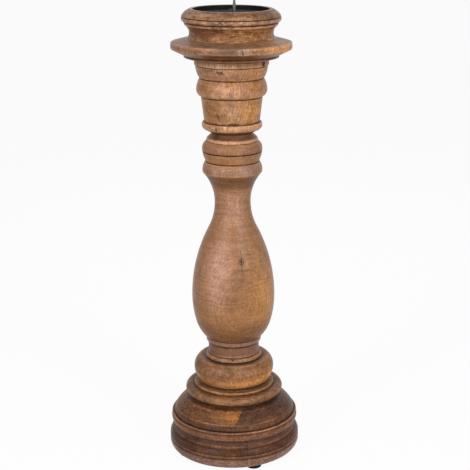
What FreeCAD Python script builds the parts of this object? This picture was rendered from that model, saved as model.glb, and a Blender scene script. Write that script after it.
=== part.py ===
# A turned wooden pricket candle stand: a base disc glued up from boards, a column turned in
# lengths, a drip plate, and a cup with a black steel pan and a spike for a pillar candle.
# Millimetres, +Z up. The origin is on the floor, on the column's axis. The front faces -Y.
import FreeCAD, Part
import math
import os
import re

import Sketcher

SIZES = {
    # joints that several pieces share
    "fit_gap": 0.1,
    "end_gap": 0.5,
    "overrun": 5.0,
    # scratched lines that the turner cut with a skew chisel
    "line_width": 1.0,
    "line_depth": 0.8,
    # rubber feet, and the screw through each
    "foot_height": 5.0,
    "foot_radius": 10.5,
    "foot_taper": 0.4,
    "foot_inset": 10.8,
    "foot_web": 2.0,
    "foot_bearing": 21.8,
    "foot_recess_margin": 0.8,
    "foot_screw_radius": 1.5,
    "foot_screw_length": 16.0,
    "foot_screw_point": 3.0,
    "foot_screw_head_radius": 3.4,
    "foot_screw_head_rim": 0.7,
    "foot_screw_head_crown": 1.2,
    # coach screw up the axis, and its washer in the plinth
    "tie_radius": 4.0,
    "tie_length": 160.0,
    "tie_point": 7.0,
    "tie_head_radius": 7.5,
    "tie_head_height": 5.5,
    "tie_recess_radius": 15.0,
    "tie_recess_depth": 14.0,
    "washer_radius": 12.0,
    "washer_height": 2.0,
    # plinth, the lower disc
    "plinth_radius": 89.6,
    "plinth_edge_inset": 8.8,
    "plinth_edge_height": 9.8,
    "plinth_edge_swell": 2.0,
    "plinth_band_height": 5.6,
    "plinth_ovolo_height": 13.6,
    "plinth_ovolo_inset": 6.4,
    "plinth_ovolo_swell": 1.8,
    "plinth_cove_height": 8.0,
    "plinth_cove_inset": 1.4,
    "plinth_cove_hollow": 1.5,
    "plinth_seam_left_share": 0.58,
    "plinth_seam_right_share": 0.2,
    "plinth_seam_bearing": 0.0,
    # dome, the upper disc
    "dome_lip_radius": 86.4,
    "dome_lip_inset": 2.9,
    "dome_lip_height": 10.4,
    "dome_lip_swell": 1.9,
    "dome_fillet_height": 2.4,
    "dome_radius": 83.0,
    "dome_edge_height": 7.2,
    "dome_edge_inset": 2.5,
    "dome_edge_swell": 0.7,
    "dome_height": 16.8,
    "dome_swell": 1.6,
    "dome_top_radius": 61.0,
    "dome_seam_left_share": 0.35,
    "dome_seam_right_share": 0.46,
    "dome_seam_bearing": 28.0,
    # ring under the bun
    "ring_foot_radius": 59.8,
    "ring_foot_height": 3.2,
    "ring_foot_flare": 1.4,
    "ring_torus_height": 12.2,
    "ring_torus_swell": 5.4,
    "ring_fillet_radius": 55.8,
    "ring_fillet_slope": 2.4,
    "ring_fillet_height": 3.0,
    # bun
    "bun_radius": 54.6,
    "bun_foot_inset": 7.4,
    "bun_foot_flare": 0.8,
    "bun_foot_height": 2.8,
    "bun_lower_height": 19.2,
    "bun_upper_height": 14.4,
    "bun_shoulder_inset": 7.4,
    "bun_crown_height": 0.6,
    "bun_fillet_radius": 38.8,
    "bun_fillet_slope": 2.1,
    "bun_fillet_height": 4.3,
    "bun_tenon_radius": 20.0,
    "bun_tenon_depth": 20.0,
    # baluster: lower neck, bead, vase, slender neck, collar, bulb and shoulder
    "shaft_radius": 34.8,
    "shaft_taper": 0.4,
    "shaft_height": 16.8,
    "bead_radius": 38.2,
    "bead_slope": 1.2,
    "bead_height": 6.2,
    "vase_foot_radius": 38.8,
    "vase_radius": 56.0,
    "vase_turn_share": 0.66,
    "vase_turn_height": 18.7,
    "vase_turn_swell": 1.2,
    "vase_lower_height": 38.5,
    "vase_upper_height": 130.5,
    "vase_change_share": 0.73,
    "neck_radius": 24.0,
    "neck_height": 41.4,
    "collar_radius": 39.6,
    "collar_slope": 3.2,
    "collar_height": 13.6,
    "collar_swell": 1.3,
    "collar_groove_radius": 35.4,
    "collar_groove_height": 1.8,
    "bulb_radius": 39.6,
    "bulb_foot_inset": 3.8,
    "bulb_lower_height": 10.4,
    "bulb_lower_swell": 0.6,
    "bulb_upper_height": 14.4,
    "bulb_upper_swell": 2.1,
    "bulb_top_inset": 4.9,
    "shoulder_fillet_height": 3.4,
    "shoulder_fillet_slope": 1.4,
    "shoulder_height": 6.8,
    "joint_radius": 26.4,
    "baluster_tenon_radius": 17.0,
    "baluster_tenon_length": 25.0,
    # loose dowel between baluster and capital
    "dowel_radius": 10.0,
    "dowel_length": 60.0,
    "dowel_chamfer": 1.5,
    # capital: foot ring, pot, torus band, echinus and top band
    "capital_ring_under": 4.4,
    "capital_ring_foot_radius": 35.8,
    "capital_ring_flare": 3.0,
    "capital_ring_height": 9.8,
    "capital_ring_swell": 2.4,
    "pot_foot_radius": 36.4,
    "pot_flare": 4.0,
    "pot_height": 33.2,
    "torus_radius": 46.4,
    "torus_inset": 5.4,
    "torus_lower_height": 8.2,
    "torus_upper_height": 14.2,
    "torus_top_inset": 3.8,
    "capital_notch_radius": 41.4,
    "capital_notch_height": 2.4,
    "echinus_foot_radius": 43.0,
    "echinus_flare": 4.3,
    "echinus_height": 15.0,
    "echinus_swell": 0.9,
    "capital_band_radius": 48.6,
    "capital_band_height": 6.8,
    "capital_tenon_radius": 14.0,
    "capital_tenon_length": 10.0,
    # drip plate
    "plate_seat_radius": 50.0,
    "plate_disc_radius": 61.8,
    "plate_disc_rise": 3.0,
    "plate_step_height": 2.5,
    "plate_under_height": 7.8,
    "plate_radius": 78.4,
    "plate_corner": 0.9,
    "plate_edge_height": 6.9,
    "plate_edge_swell": 0.4,
    "plate_slope_height": 5.0,
    "plate_top_radius": 58.5,
    # cup
    "cup_foot_radius": 58.0,
    "cup_cove_depth": 3.6,
    "cup_cove_lower_height": 6.5,
    "cup_cove_upper_height": 10.5,
    "cup_fillet_radius": 61.0,
    "cup_fillet_flare": 0.7,
    "cup_fillet_height": 2.8,
    "cup_torus_radius": 64.2,
    "cup_torus_foot_inset": 2.6,
    "cup_torus_height": 6.0,
    "cup_torus_swell": 1.4,
    "cup_ovolo_height": 8.4,
    "cup_ovolo_swell": 1.2,
    "cup_rim_width": 4.6,
    "cup_rim_height": 0.8,
    "cup_spigot_radius": 18.0,
    "cup_spigot_length": 10.0,
    # pan, and the screws that hold it in the cup
    "pan_radius": 49.7,
    "pan_gap": 0.3,
    "pan_depth": 5.0,
    "pan_gauge": 1.0,
    "pan_corner": 1.2,
    "pan_screw_distance": 33.0,
    "pan_screw_radius": 1.3,
    "pan_screw_length": 14.0,
    "pan_screw_point": 2.5,
    "pan_screw_head_radius": 2.9,
    "pan_screw_head_rim": 0.4,
    "pan_screw_head_crown": 1.1,
    # spike, riveted through the pan a little off the axis
    "spike_offset": 4.0,
    "spike_foot_radius": 2.75,
    "spike_shank_radius": 2.2,
    "spike_shank_height": 11.0,
    "spike_point_height": 14.0,
    "spike_point_swell": 0.35,
    "spike_tip_radius": 0.3,
    "rivet_radius": 2.0,
    "rivet_head_radius": 4.0,
    "rivet_head_height": 1.6,
    "rivet_recess_margin": 1.0,
}

FEET = ("foot_back_right", "foot_back_left", "foot_front_left", "foot_front_right")
BOARDS = ("left", "middle", "right")
PAN_SCREWS = 2
FULL_TURN = 360

os.makedirs("parts", exist_ok=True)
doc = FreeCAD.newDocument("candle_stand")
sheet = doc.addObject("Spreadsheet::Sheet", "sizes")
for row, (word, size) in enumerate(SIZES.items(), start=1):
    cell = "A%d" % row
    sheet.set(cell, str(size))
    sheet.setAlias(cell, word)
doc.recompute()


def formula(text):
    """A formula in the sheet's words, with the sheet's name put before each of them."""
    return re.sub(r"[a-z_]+", lambda found: "sizes." + found[0] if found[0] in SIZES else found[0], text)


def measure(text):
    """What such a formula comes to."""
    return float(sheet.evalExpression(formula(text)))


def total(steps):
    """The height that a run of steps climbs, as a formula."""
    return " + ".join(step[1] for step in steps if step[1] != "0")


def scratched_line(radius):
    """Two steps that cut a scratched line into a wall of this radius."""
    return [("%s - line_depth" % radius, "line_width / 2"), (radius, "line_width / 2")]


def arc_radius(kind, across, up, depth):
    """The radius of a round stretch, as a formula.

    A bulge or a hollow stands a named depth off its chord. A belly or a waist is upright at its
    widest or narrowest end, and a crown is level at the axis.
    """
    chord = "((%s)^2 + (%s)^2)" % (across, up)
    if kind in ("bulge", "hollow"):
        return "%s / (8 * (%s)) + (%s) / 2" % (chord, depth, depth)
    if kind == "crown":
        return "%s / (2 * abs(%s))" % (chord, up)
    return "%s / (2 * abs(%s))" % (chord, across)


def round_edge(begin, end, hollow, radius, depth):
    """The arc from begin to end. An outline keeps its material on the left, so a hollow turns right."""
    chord = end - begin
    if depth is None:
        depth = radius - math.sqrt(radius ** 2 - chord.Length ** 2 / 4)
    outward = FreeCAD.Vector(chord.y, -chord.x, 0).normalize()
    if hollow:
        return Part.Arc(end, (begin + end) * 0.5 - outward * depth, begin)
    return Part.Arc(begin, (begin + end) * 0.5 + outward * depth, end)


def tie(sketch, kind, points, text):
    """A sketch dimension that follows a formula."""
    mark = sketch.addConstraint(Sketcher.Constraint(kind, *points, measure(text)))
    sketch.setExpression("Constraints[%d]" % mark, formula(text))


def outline(sketch, start, steps):
    """Draws a closed outline of steps and ties each of its points to the sheet.

    The start is a radius and a depth below the origin. A step is a radius, a rise and, for a round
    stretch, its kind and its depth. The last step joins back to the start, up or down. A sketch
    counts an arc's ends anticlockwise, so a hollow's near end is its second.
    """
    radius, depth = start
    first = FreeCAD.Vector(measure(radius), -measure(depth), 0)
    begin = first
    ends = []
    for edge, (wide, rise, *curve) in enumerate(steps):
        end = FreeCAD.Vector(measure(wide), begin.y + measure(rise), 0)
        hollow = bool(curve) and curve[0] in ("hollow", "waist")
        near, far = ([edge, 2], [edge, 1]) if hollow else ([edge, 1], [edge, 2])
        if curve:
            swell = curve[1] if len(curve) > 1 else None
            bend = arc_radius(curve[0], "(%s) - (%s)" % (wide, radius), rise, swell)
            arc = round_edge(begin, end, hollow, measure(bend), swell and measure(swell))
            sketch.addGeometry(arc, False)
            tie(sketch, "Radius", [edge], bend)
        else:
            sketch.addGeometry(Part.LineSegment(begin, end), False)
        if ends:
            sketch.addConstraint(Sketcher.Constraint("Coincident", *ends[-1][1], *near))
        if wide == radius and not curve:
            sketch.addConstraint(Sketcher.Constraint("Vertical", edge))
        elif wide == "0":
            sketch.addConstraint(Sketcher.Constraint("PointOnObject", *far, -2))
        else:
            tie(sketch, "DistanceX", [-1, 1, *far], wide)
        if rise == "0":
            sketch.addConstraint(Sketcher.Constraint("Horizontal", edge))
        elif rise.startswith("-"):
            tie(sketch, "DistanceY", [*far, *near], rise[1:])
        else:
            tie(sketch, "DistanceY", [*near, *far], rise)
        ends.append((near, far))
        begin = end
        radius = wide
    last = len(steps)
    sketch.addGeometry(Part.LineSegment(begin, first), False)
    sketch.addConstraint(Sketcher.Constraint("Coincident", *ends[-1][1], last, 1))
    sketch.addConstraint(Sketcher.Constraint("Coincident", last, 2, *ends[0][0]))
    if start[0] == "0":
        sketch.addConstraint(Sketcher.Constraint("PointOnObject", *ends[0][0], -2))
    else:
        tie(sketch, "DistanceX", [-1, 1, *ends[0][0]], start[0])
    if depth == "0":
        sketch.addConstraint(Sketcher.Constraint("PointOnObject", *ends[0][0], -1))
    else:
        tie(sketch, "DistanceY", [*ends[0][0], -1, 1], depth)


def origin_feature(body, role):
    """One of a body's own origin planes or axes."""
    return next(feature for feature in body.Origin.OriginFeatures if feature.Role == role)


def stand(piece, across, along, up):
    """Ties where a piece stands to the sheet."""
    piece.setExpression("Placement.Base.x", formula(across))
    piece.setExpression("Placement.Base.y", formula(along))
    piece.setExpression("Placement.Base.z", formula(up))


def turned(label, up, start, steps, across="0", along="0"):
    """A piece turned about its upright axis from one closed outline."""
    body = doc.addObject("PartDesign::Body", label)
    body.Label = label
    sketch = body.newObject("Sketcher::SketchObject", label + "_outline")
    sketch.AttachmentSupport = [(origin_feature(body, "XZ_Plane"), "")]
    sketch.MapMode = "FlatFace"
    outline(sketch, start, steps)
    turning = body.newObject("PartDesign::Revolution", label + "_turning")
    turning.Profile = sketch
    turning.ReferenceAxis = (sketch, ["V_Axis"])
    turning.Angle = FULL_TURN
    stand(body, across, along, up)
    doc.recompute()
    return body


def drill(body, name, floor, across, along, radius, depth, copies=1, upward=False):
    """Drills a round hole from the level called floor, and its copies evenly round the axis."""
    sketch = body.newObject("Sketcher::SketchObject", name + "_circle")
    sketch.AttachmentSupport = [(origin_feature(body, "XY_Plane"), "")]
    sketch.MapMode = "FlatFace"
    sketch.setExpression("AttachmentOffset.Base.z", formula(floor))
    centre = FreeCAD.Vector(measure(across), measure(along), 0)
    sketch.addGeometry(Part.Circle(centre, FreeCAD.Vector(0, 0, 1), measure(radius)), False)
    tie(sketch, "Radius", [0], radius)
    for kind, axis, text in (("DistanceX", -2, across), ("DistanceY", -1, along)):
        if text == "0":
            sketch.addConstraint(Sketcher.Constraint("PointOnObject", 0, 3, axis))
        else:
            tie(sketch, kind, [-1, 1, 0, 3], text)
    doc.recompute()
    whole = body.Shape.Volume
    hole = body.newObject("PartDesign::Pocket", name)
    hole.Profile = sketch
    hole.Reversed = upward
    hole.setExpression("Length", formula(depth))
    doc.recompute()
    holed = hole.Shape.Volume
    if holed >= whole:
        raise RuntimeError("%s cuts nothing" % name)
    if copies > 1:
        pattern = body.newObject("PartDesign::PolarPattern", name + "_pattern")
        pattern.Originals = [hole]
        pattern.Axis = (origin_feature(body, "Z_Axis"), [""])
        pattern.Angle = FULL_TURN
        pattern.Occurrences = copies
        body.Tip = pattern
        doc.recompute()
        if pattern.Shape.Volume >= holed:
            raise RuntimeError("%s is not repeated" % name)


def boards(name, blank, up, height, radius):
    """Cuts a turned disc along its two glue lines into the boards that it was glued up from."""
    reach = "(%s + overrun)" % radius
    left = "-%s_seam_left_share * %s" % (name, radius)
    right = "%s_seam_right_share * %s" % (name, radius)
    bearing = "%s_seam_bearing" % name
    edges = ["-" + reach, left, right, reach]
    made = []
    for side, low, high in zip(BOARDS, edges, edges[1:]):
        plank = doc.addObject("Part::Box", "%s_plank_%s" % (name, side))
        plank.setExpression("Length", formula("(%s) - (%s)" % (high, low)))
        plank.setExpression("Width", formula("2 * %s" % reach))
        plank.setExpression("Height", formula("%s + 2 * overrun" % height))
        plank.Placement.Rotation = FreeCAD.Rotation(FreeCAD.Vector(0, 0, -1), measure(bearing))
        plank.setExpression("Placement.Rotation.Angle", formula(bearing))
        across = "(%s) * cos(%s) - %s * sin(%s)" % (low, bearing, reach, bearing)
        along = "-(%s) * sin(%s) - %s * cos(%s)" % (low, bearing, reach, bearing)
        stand(plank, across, along, "%s - overrun" % up)
        board = doc.addObject("Part::Common", "%s_board_%s" % (name, side))
        board.Base = blank
        board.Tool = plank
        made.append(board)
    doc.recompute()
    return made


def wood_screw(label, kind, up, across, along, head_down=False):
    """A round-head wood screw whose head seats at the level called up."""
    shank, point = kind + "_radius", kind + "_point"
    head, rim, crown = kind + "_head_radius", kind + "_head_rim", kind + "_head_crown"
    plain = "%s_length - %s" % (kind, point)
    if head_down:
        start = ("0", "%s + %s" % (rim, crown))
        steps = [(head, crown, "crown"), (head, rim), (shank, "0"), (shank, plain), ("0", point)]
    else:
        start = ("0", kind + "_length")
        steps = [(shank, point), (shank, plain), (head, "0"), (head, rim), ("0", crown, "crown")]
    return turned(label, up, start, steps, across, along)


def group(label, members):
    """Fasteners that share one node."""
    joined = doc.addObject("Part::Compound", label)
    joined.Links = members
    doc.recompute()
    return joined


# feet: four rubber buttons, each with a screw up into the plinth
foot_seat = "foot_height"
plinth_foot = "plinth_radius - plinth_edge_inset"
foot_circle = "(%s - foot_inset)" % plinth_foot
foot_bore = "foot_screw_radius + fit_gap"
foot_recess = "foot_screw_head_radius + foot_recess_margin"
foot_steps = [
    ("foot_radius - foot_taper", "0"),
    ("foot_radius", "foot_height"),
    (foot_bore, "0"),
    (foot_bore, "-foot_web"),
    (foot_recess, "0"),
]
feet = []
foot_screws = []
for corner, foot in enumerate(FEET):
    bearing = "foot_bearing + %g" % (corner * FULL_TURN / len(FEET))
    foot_across = "%s * cos(%s)" % (foot_circle, bearing)
    foot_along = "%s * sin(%s)" % (foot_circle, bearing)
    feet.append(turned(foot, "0", (foot_recess, "0"), foot_steps, foot_across, foot_along))
    screw = wood_screw(
        foot.replace("foot", "screw"), "foot_screw", "foot_height - foot_web", foot_across, foot_along,
        head_down=True,
    )
    foot_screws.append(screw)
foot_screws = group("foot_screws", foot_screws)

# plinth: the lower disc, with an edge, a band between scratched lines, an ovolo and a cove
plinth_seat = foot_seat
tie_bore = "tie_radius + fit_gap"
plinth_side = [
    ("plinth_radius", "plinth_edge_height", "bulge", "plinth_edge_swell"),
    *scratched_line("plinth_radius"),
    ("plinth_radius", "plinth_band_height"),
    *scratched_line("plinth_radius"),
    ("plinth_radius - plinth_ovolo_inset", "plinth_ovolo_height", "bulge", "plinth_ovolo_swell"),
    (
        "plinth_radius - plinth_ovolo_inset - plinth_cove_inset", "plinth_cove_height",
        "hollow", "plinth_cove_hollow",
    ),
]
plinth_height = total(plinth_side)
plinth_blank = turned(
    "plinth_blank", plinth_seat, ("tie_recess_radius", "0"),
    [
        (plinth_foot, "0"),
        *plinth_side,
        (tie_bore, "0"),
        (tie_bore, "-(%s - tie_recess_depth)" % plinth_height),
        ("tie_recess_radius", "0"),
    ],
)
drill(
    plinth_blank, "plinth_pilots", "0",
    "%s * cos(foot_bearing)" % foot_circle, "%s * sin(foot_bearing)" % foot_circle,
    foot_bore, "foot_screw_length - foot_web + end_gap", copies=len(FEET), upward=True,
)
plinth_boards = boards("plinth", plinth_blank, plinth_seat, "(%s)" % plinth_height, "plinth_radius")

# dome: the upper disc, with a rolled lip, a thin fillet, a steep edge and a low dome
dome_seat = "%s + %s" % (plinth_seat, plinth_height)
bun_socket = "bun_tenon_radius + fit_gap"
dome_side = [
    ("dome_lip_radius", "dome_lip_height", "bulge", "dome_lip_swell"),
    *scratched_line("dome_lip_radius"),
    ("dome_lip_radius", "dome_fillet_height"),
    ("dome_radius - line_depth", "0"),
    ("dome_radius - line_depth", "line_width"),
    ("dome_radius", "0"),
    ("dome_radius - dome_edge_inset", "dome_edge_height", "bulge", "dome_edge_swell"),
    ("dome_top_radius", "dome_height", "bulge", "dome_swell"),
]
dome_height = total(dome_side)
dome_blank = turned(
    "dome_blank", dome_seat, (tie_bore, "0"),
    [
        ("dome_lip_radius - dome_lip_inset", "0"),
        *dome_side,
        (bun_socket, "0"),
        (bun_socket, "-(bun_tenon_depth + end_gap)"),
        (tie_bore, "0"),
    ],
)
dome_boards = boards("dome", dome_blank, dome_seat, "(%s)" % dome_height, "dome_lip_radius")

# base ring: a torus with a small sloping fillet on top
ring_seat = "%s + %s" % (dome_seat, dome_height)
ring_side = [
    ("ring_foot_radius + ring_foot_flare", "ring_foot_height"),
    ("ring_foot_radius + ring_foot_flare", "ring_torus_height", "bulge", "ring_torus_swell"),
    ("ring_fillet_radius", "0"),
    ("ring_fillet_radius - ring_fillet_slope", "ring_fillet_height"),
]
ring_height = total(ring_side)
base_ring = turned(
    "base_ring", ring_seat, (bun_socket, "0"), [("ring_foot_radius", "0"), *ring_side, (bun_socket, "0")],
)

# bun: its tenon goes down through the ring into the dome
bun_seat = "%s + %s" % (ring_seat, ring_height)
bun_foot = "bun_radius - bun_foot_inset"
shaft_socket = "baluster_tenon_radius + fit_gap"
bun_side = [
    (bun_foot, "bun_foot_height"),
    ("bun_radius", "bun_lower_height", "belly"),
    ("bun_radius - bun_shoulder_inset", "bun_upper_height", "belly"),
    ("bun_fillet_radius - line_depth", "bun_crown_height"),
    ("bun_fillet_radius - line_depth", "line_width"),
    ("bun_fillet_radius", "0"),
    ("bun_fillet_radius - bun_fillet_slope", "bun_fillet_height"),
]
bun_tenon = "%s + bun_tenon_depth" % ring_height
bun = turned(
    "bun", bun_seat, (tie_bore, bun_tenon),
    [
        ("bun_tenon_radius", "0"),
        ("bun_tenon_radius", bun_tenon),
        (bun_foot + " + bun_foot_flare", "0"),
        *bun_side,
        (shaft_socket, "0"),
        (shaft_socket, "-(baluster_tenon_length + end_gap)"),
        (tie_bore, "0"),
    ],
)

# baluster: the long middle length of the column, with a blind bore for the coach screw below
# and one for the dowel on top
baluster_seat = "%s + %s" % (bun_seat, total(bun_side))
tie_seat = "foot_height + tie_recess_depth"
tie_end = "%s - washer_height + tie_length" % tie_seat
dowel_socket = "dowel_radius + fit_gap"
dowel_depth = "dowel_length / 2 + end_gap"
bulb_top = "bulb_radius - bulb_top_inset"
baluster_side = [
    ("shaft_radius - line_depth", "line_width"),
    ("shaft_radius", "0"),
    ("shaft_radius - shaft_taper", "shaft_height"),
    ("bead_radius - bead_slope", "0"),
    ("bead_radius", "bead_height"),
    ("bead_radius - line_depth", "0"),
    ("bead_radius - line_depth", "line_width"),
    ("vase_foot_radius", "0"),
    (
        "vase_foot_radius + vase_turn_share * (vase_radius - vase_foot_radius)", "vase_turn_height",
        "bulge", "vase_turn_swell",
    ),
    ("vase_radius", "vase_lower_height", "belly"),
    (
        "vase_radius - vase_change_share * (vase_radius - neck_radius)",
        "vase_change_share * vase_upper_height", "belly",
    ),
    ("neck_radius", "(1 - vase_change_share) * vase_upper_height", "waist"),
    ("collar_radius", "neck_height", "waist"),
    ("collar_radius - collar_slope", "collar_height", "bulge", "collar_swell"),
    ("collar_groove_radius", "0"),
    ("collar_groove_radius", "collar_groove_height"),
    ("bulb_radius - bulb_foot_inset", "0"),
    ("bulb_radius", "bulb_lower_height", "bulge", "bulb_lower_swell"),
    *scratched_line("bulb_radius"),
    (bulb_top, "bulb_upper_height", "bulge", "bulb_upper_swell"),
    (bulb_top + " - line_depth", "0"),
    (bulb_top + " - line_depth", "line_width"),
    (bulb_top, "0"),
    (bulb_top + " - shoulder_fillet_slope", "shoulder_fillet_height"),
    ("joint_radius", "shoulder_height"),
]
baluster_height = total(baluster_side)
tie_bore_depth = "%s + end_gap - (%s)" % (tie_end, baluster_seat)
baluster = turned(
    "baluster", baluster_seat, (tie_bore, "baluster_tenon_length"),
    [
        ("baluster_tenon_radius", "0"),
        ("baluster_tenon_radius", "baluster_tenon_length"),
        ("shaft_radius - line_depth", "0"),
        *baluster_side,
        (dowel_socket, "0"),
        (dowel_socket, "-(%s)" % dowel_depth),
        ("0", "0"),
        ("0", "-(%s - (%s) - (%s))" % (baluster_height, dowel_depth, tie_bore_depth)),
        (tie_bore, "0"),
    ],
)

# neck dowel: loose, half in the baluster and half in the capital
capital_seat = "%s + %s" % (baluster_seat, baluster_height)
neck_dowel = turned(
    "neck_dowel", "%s - dowel_length / 2" % capital_seat, ("0", "0"),
    [
        ("dowel_radius - dowel_chamfer", "0"),
        ("dowel_radius", "dowel_chamfer"),
        ("dowel_radius", "dowel_length - 2 * dowel_chamfer"),
        ("dowel_radius - dowel_chamfer", "dowel_chamfer"),
        ("0", "0"),
    ],
)

# capital: foot ring, pot, torus band, echinus and top band, with a tenon into the plate
capital_socket = "capital_tenon_radius + fit_gap"
pot_top = "pot_foot_radius + pot_flare"
echinus_top = "echinus_foot_radius + echinus_flare"
capital_side = [
    ("capital_ring_foot_radius", "capital_ring_under"),
    (
        "capital_ring_foot_radius + capital_ring_flare", "capital_ring_height",
        "bulge", "capital_ring_swell",
    ),
    ("pot_foot_radius", "0"),
    (pot_top, "pot_height"),
    (pot_top + " - line_depth", "0"),
    (pot_top + " - line_depth", "line_width"),
    ("torus_radius - torus_inset", "0"),
    ("torus_radius", "torus_lower_height", "belly"),
    ("torus_radius - torus_top_inset", "torus_upper_height", "belly"),
    ("capital_notch_radius", "capital_notch_height / 2"),
    ("echinus_foot_radius", "capital_notch_height / 2"),
    (echinus_top, "echinus_height", "bulge", "echinus_swell"),
    (echinus_top + " - line_depth", "0"),
    (echinus_top + " - line_depth", "line_width"),
    ("capital_band_radius", "0"),
    ("capital_band_radius", "capital_band_height"),
]
capital_height = total(capital_side)
capital = turned(
    "capital", capital_seat, (dowel_socket, "0"),
    [
        ("joint_radius", "0"),
        *capital_side,
        ("capital_tenon_radius", "0"),
        ("capital_tenon_radius", "capital_tenon_length"),
        ("0", "0"),
        ("0", "-(%s + capital_tenon_length - (%s))" % (capital_height, dowel_depth)),
        (dowel_socket, "0"),
    ],
)

# drip plate: a stepped underside, an upright edge with soft corners and a sloping top
plate_seat = "%s + %s" % (capital_seat, capital_height)
plate_side = [
    ("plate_disc_radius", "plate_disc_rise"),
    ("plate_disc_radius", "plate_step_height"),
    ("plate_radius - plate_corner", "plate_under_height"),
    ("plate_radius", "plate_corner", "belly"),
    ("plate_radius", "plate_edge_height", "bulge", "plate_edge_swell"),
    ("plate_radius - plate_corner", "plate_corner", "belly"),
    ("plate_top_radius", "plate_slope_height"),
]
plate_height = total(plate_side)
cup_socket = "cup_spigot_radius + fit_gap"
plate_sockets = "capital_tenon_length + end_gap + cup_spigot_length + end_gap"
drip_plate = turned(
    "drip_plate", plate_seat, (capital_socket, "0"),
    [
        ("plate_seat_radius", "0"),
        *plate_side,
        (cup_socket, "0"),
        (cup_socket, "-(cup_spigot_length + end_gap)"),
        ("0", "0"),
        ("0", "-(%s - (%s))" % (plate_height, plate_sockets)),
        (capital_socket, "0"),
    ],
)

# cup: cove, fillet, lower torus, ovolo and flat rim round the recess for the pan
cup_seat = "%s + %s" % (plate_seat, plate_height)
cup_recess = "pan_radius + pan_gap"
cup_rim = "%s + cup_rim_width" % cup_recess
cup_side = [
    ("cup_foot_radius - cup_cove_depth", "cup_cove_lower_height", "waist"),
    ("cup_fillet_radius - cup_fillet_flare", "cup_cove_upper_height", "waist"),
    ("cup_fillet_radius", "cup_fillet_height"),
    ("cup_fillet_radius - line_depth", "0"),
    ("cup_fillet_radius - line_depth", "line_width"),
    ("cup_torus_radius - cup_torus_foot_inset", "0"),
    ("cup_torus_radius", "cup_torus_height", "bulge", "cup_torus_swell"),
    *scratched_line("cup_torus_radius"),
    (cup_rim + " + line_depth", "cup_ovolo_height", "bulge", "cup_ovolo_swell"),
    (cup_rim, "0"),
    (cup_rim, "cup_rim_height"),
]
cup_height = total(cup_side)
cup = turned(
    "cup", cup_seat, ("0", "cup_spigot_length"),
    [
        ("cup_spigot_radius", "0"),
        ("cup_spigot_radius", "cup_spigot_length"),
        ("cup_foot_radius", "0"),
        *cup_side,
        (cup_recess, "0"),
        (cup_recess, "-(pan_depth + pan_gauge)"),
        ("0", "0"),
    ],
)
cup_floor = "%s - pan_depth - pan_gauge" % cup_height
pan_screw_bore = "pan_screw_radius + fit_gap"
drill(
    cup, "cup_rivet_recess", cup_floor, "spike_offset", "0",
    "rivet_head_radius + rivet_recess_margin", "rivet_head_height + rivet_recess_margin",
)
drill(
    cup, "cup_pilots", cup_floor, "0", "pan_screw_distance",
    pan_screw_bore, "pan_screw_length - pan_gauge + end_gap", copies=PAN_SCREWS,
)

# candle pan: a pressed steel dish, its rim level with the cup's
pan_seat = "%s + %s" % (cup_seat, cup_floor)
candle_pan = turned(
    "candle_pan", pan_seat, ("0", "0"),
    [
        ("pan_radius - pan_gauge - pan_corner", "0"),
        ("pan_radius", "pan_corner + pan_gauge", "belly"),
        ("pan_radius", "pan_depth - pan_corner"),
        ("pan_radius - pan_gauge", "0"),
        ("pan_radius - pan_gauge", "-(pan_depth - pan_corner)"),
        ("pan_radius - pan_gauge - pan_corner", "-pan_corner", "waist"),
        ("0", "0"),
    ],
)
drill(
    candle_pan, "pan_rivet_hole", "pan_gauge", "spike_offset", "0",
    "rivet_radius + fit_gap", "pan_gauge + overrun",
)
drill(
    candle_pan, "pan_screw_holes", "pan_gauge", "0", "pan_screw_distance",
    pan_screw_bore, "pan_gauge + overrun", copies=PAN_SCREWS,
)
pan_floor = "%s + pan_gauge" % pan_seat
pan_screws = group(
    "pan_screws",
    [
        wood_screw("pan_screw_front", "pan_screw", pan_floor, "0", "-pan_screw_distance"),
        wood_screw("pan_screw_back", "pan_screw", pan_floor, "0", "pan_screw_distance"),
    ],
)

# pricket: the spike, with its rivet shank through the pan and the rivet head under it
pricket = turned(
    "pricket", pan_seat, ("0", "rivet_head_height"),
    [
        ("rivet_head_radius", "0"),
        ("rivet_head_radius", "rivet_head_height"),
        ("rivet_radius", "0"),
        ("rivet_radius", "pan_gauge"),
        ("spike_foot_radius", "0"),
        ("spike_shank_radius", "spike_shank_height"),
        ("spike_tip_radius", "spike_point_height", "bulge", "spike_point_swell"),
        ("0", "0"),
    ],
    across="spike_offset",
)

# tie screw and washer: they draw plinth, dome, ring, bun and baluster together
tie_washer = turned(
    "tie_washer", "%s - washer_height" % tie_seat, (tie_bore, "0"),
    [("washer_radius", "0"), ("washer_radius", "washer_height"), (tie_bore, "0")],
)
tie_head = doc.addObject("Part::Prism", "tie_head")
tie_head.Polygon = 6
tie_head.setExpression("Circumradius", formula("tie_head_radius"))
tie_head.setExpression("Height", formula("tie_head_height"))
stand(tie_head, "0", "0", "%s - washer_height - tie_head_height" % tie_seat)
tie_shank = doc.addObject("Part::Cylinder", "tie_shank")
tie_shank.setExpression("Radius", formula("tie_radius"))
tie_shank.setExpression("Height", formula("tie_length - tie_point"))
stand(tie_shank, "0", "0", "%s - washer_height" % tie_seat)
tie_tip = doc.addObject("Part::Cone", "tie_tip")
tie_tip.setExpression("Radius1", formula("tie_radius"))
tie_tip.Radius2 = 0
tie_tip.setExpression("Height", formula("tie_point"))
stand(tie_tip, "0", "0", "%s - tie_point" % tie_end)
tie_screw = doc.addObject("Part::MultiFuse", "tie_screw")
tie_screw.Shapes = [tie_head, tie_shank, tie_tip]

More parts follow.
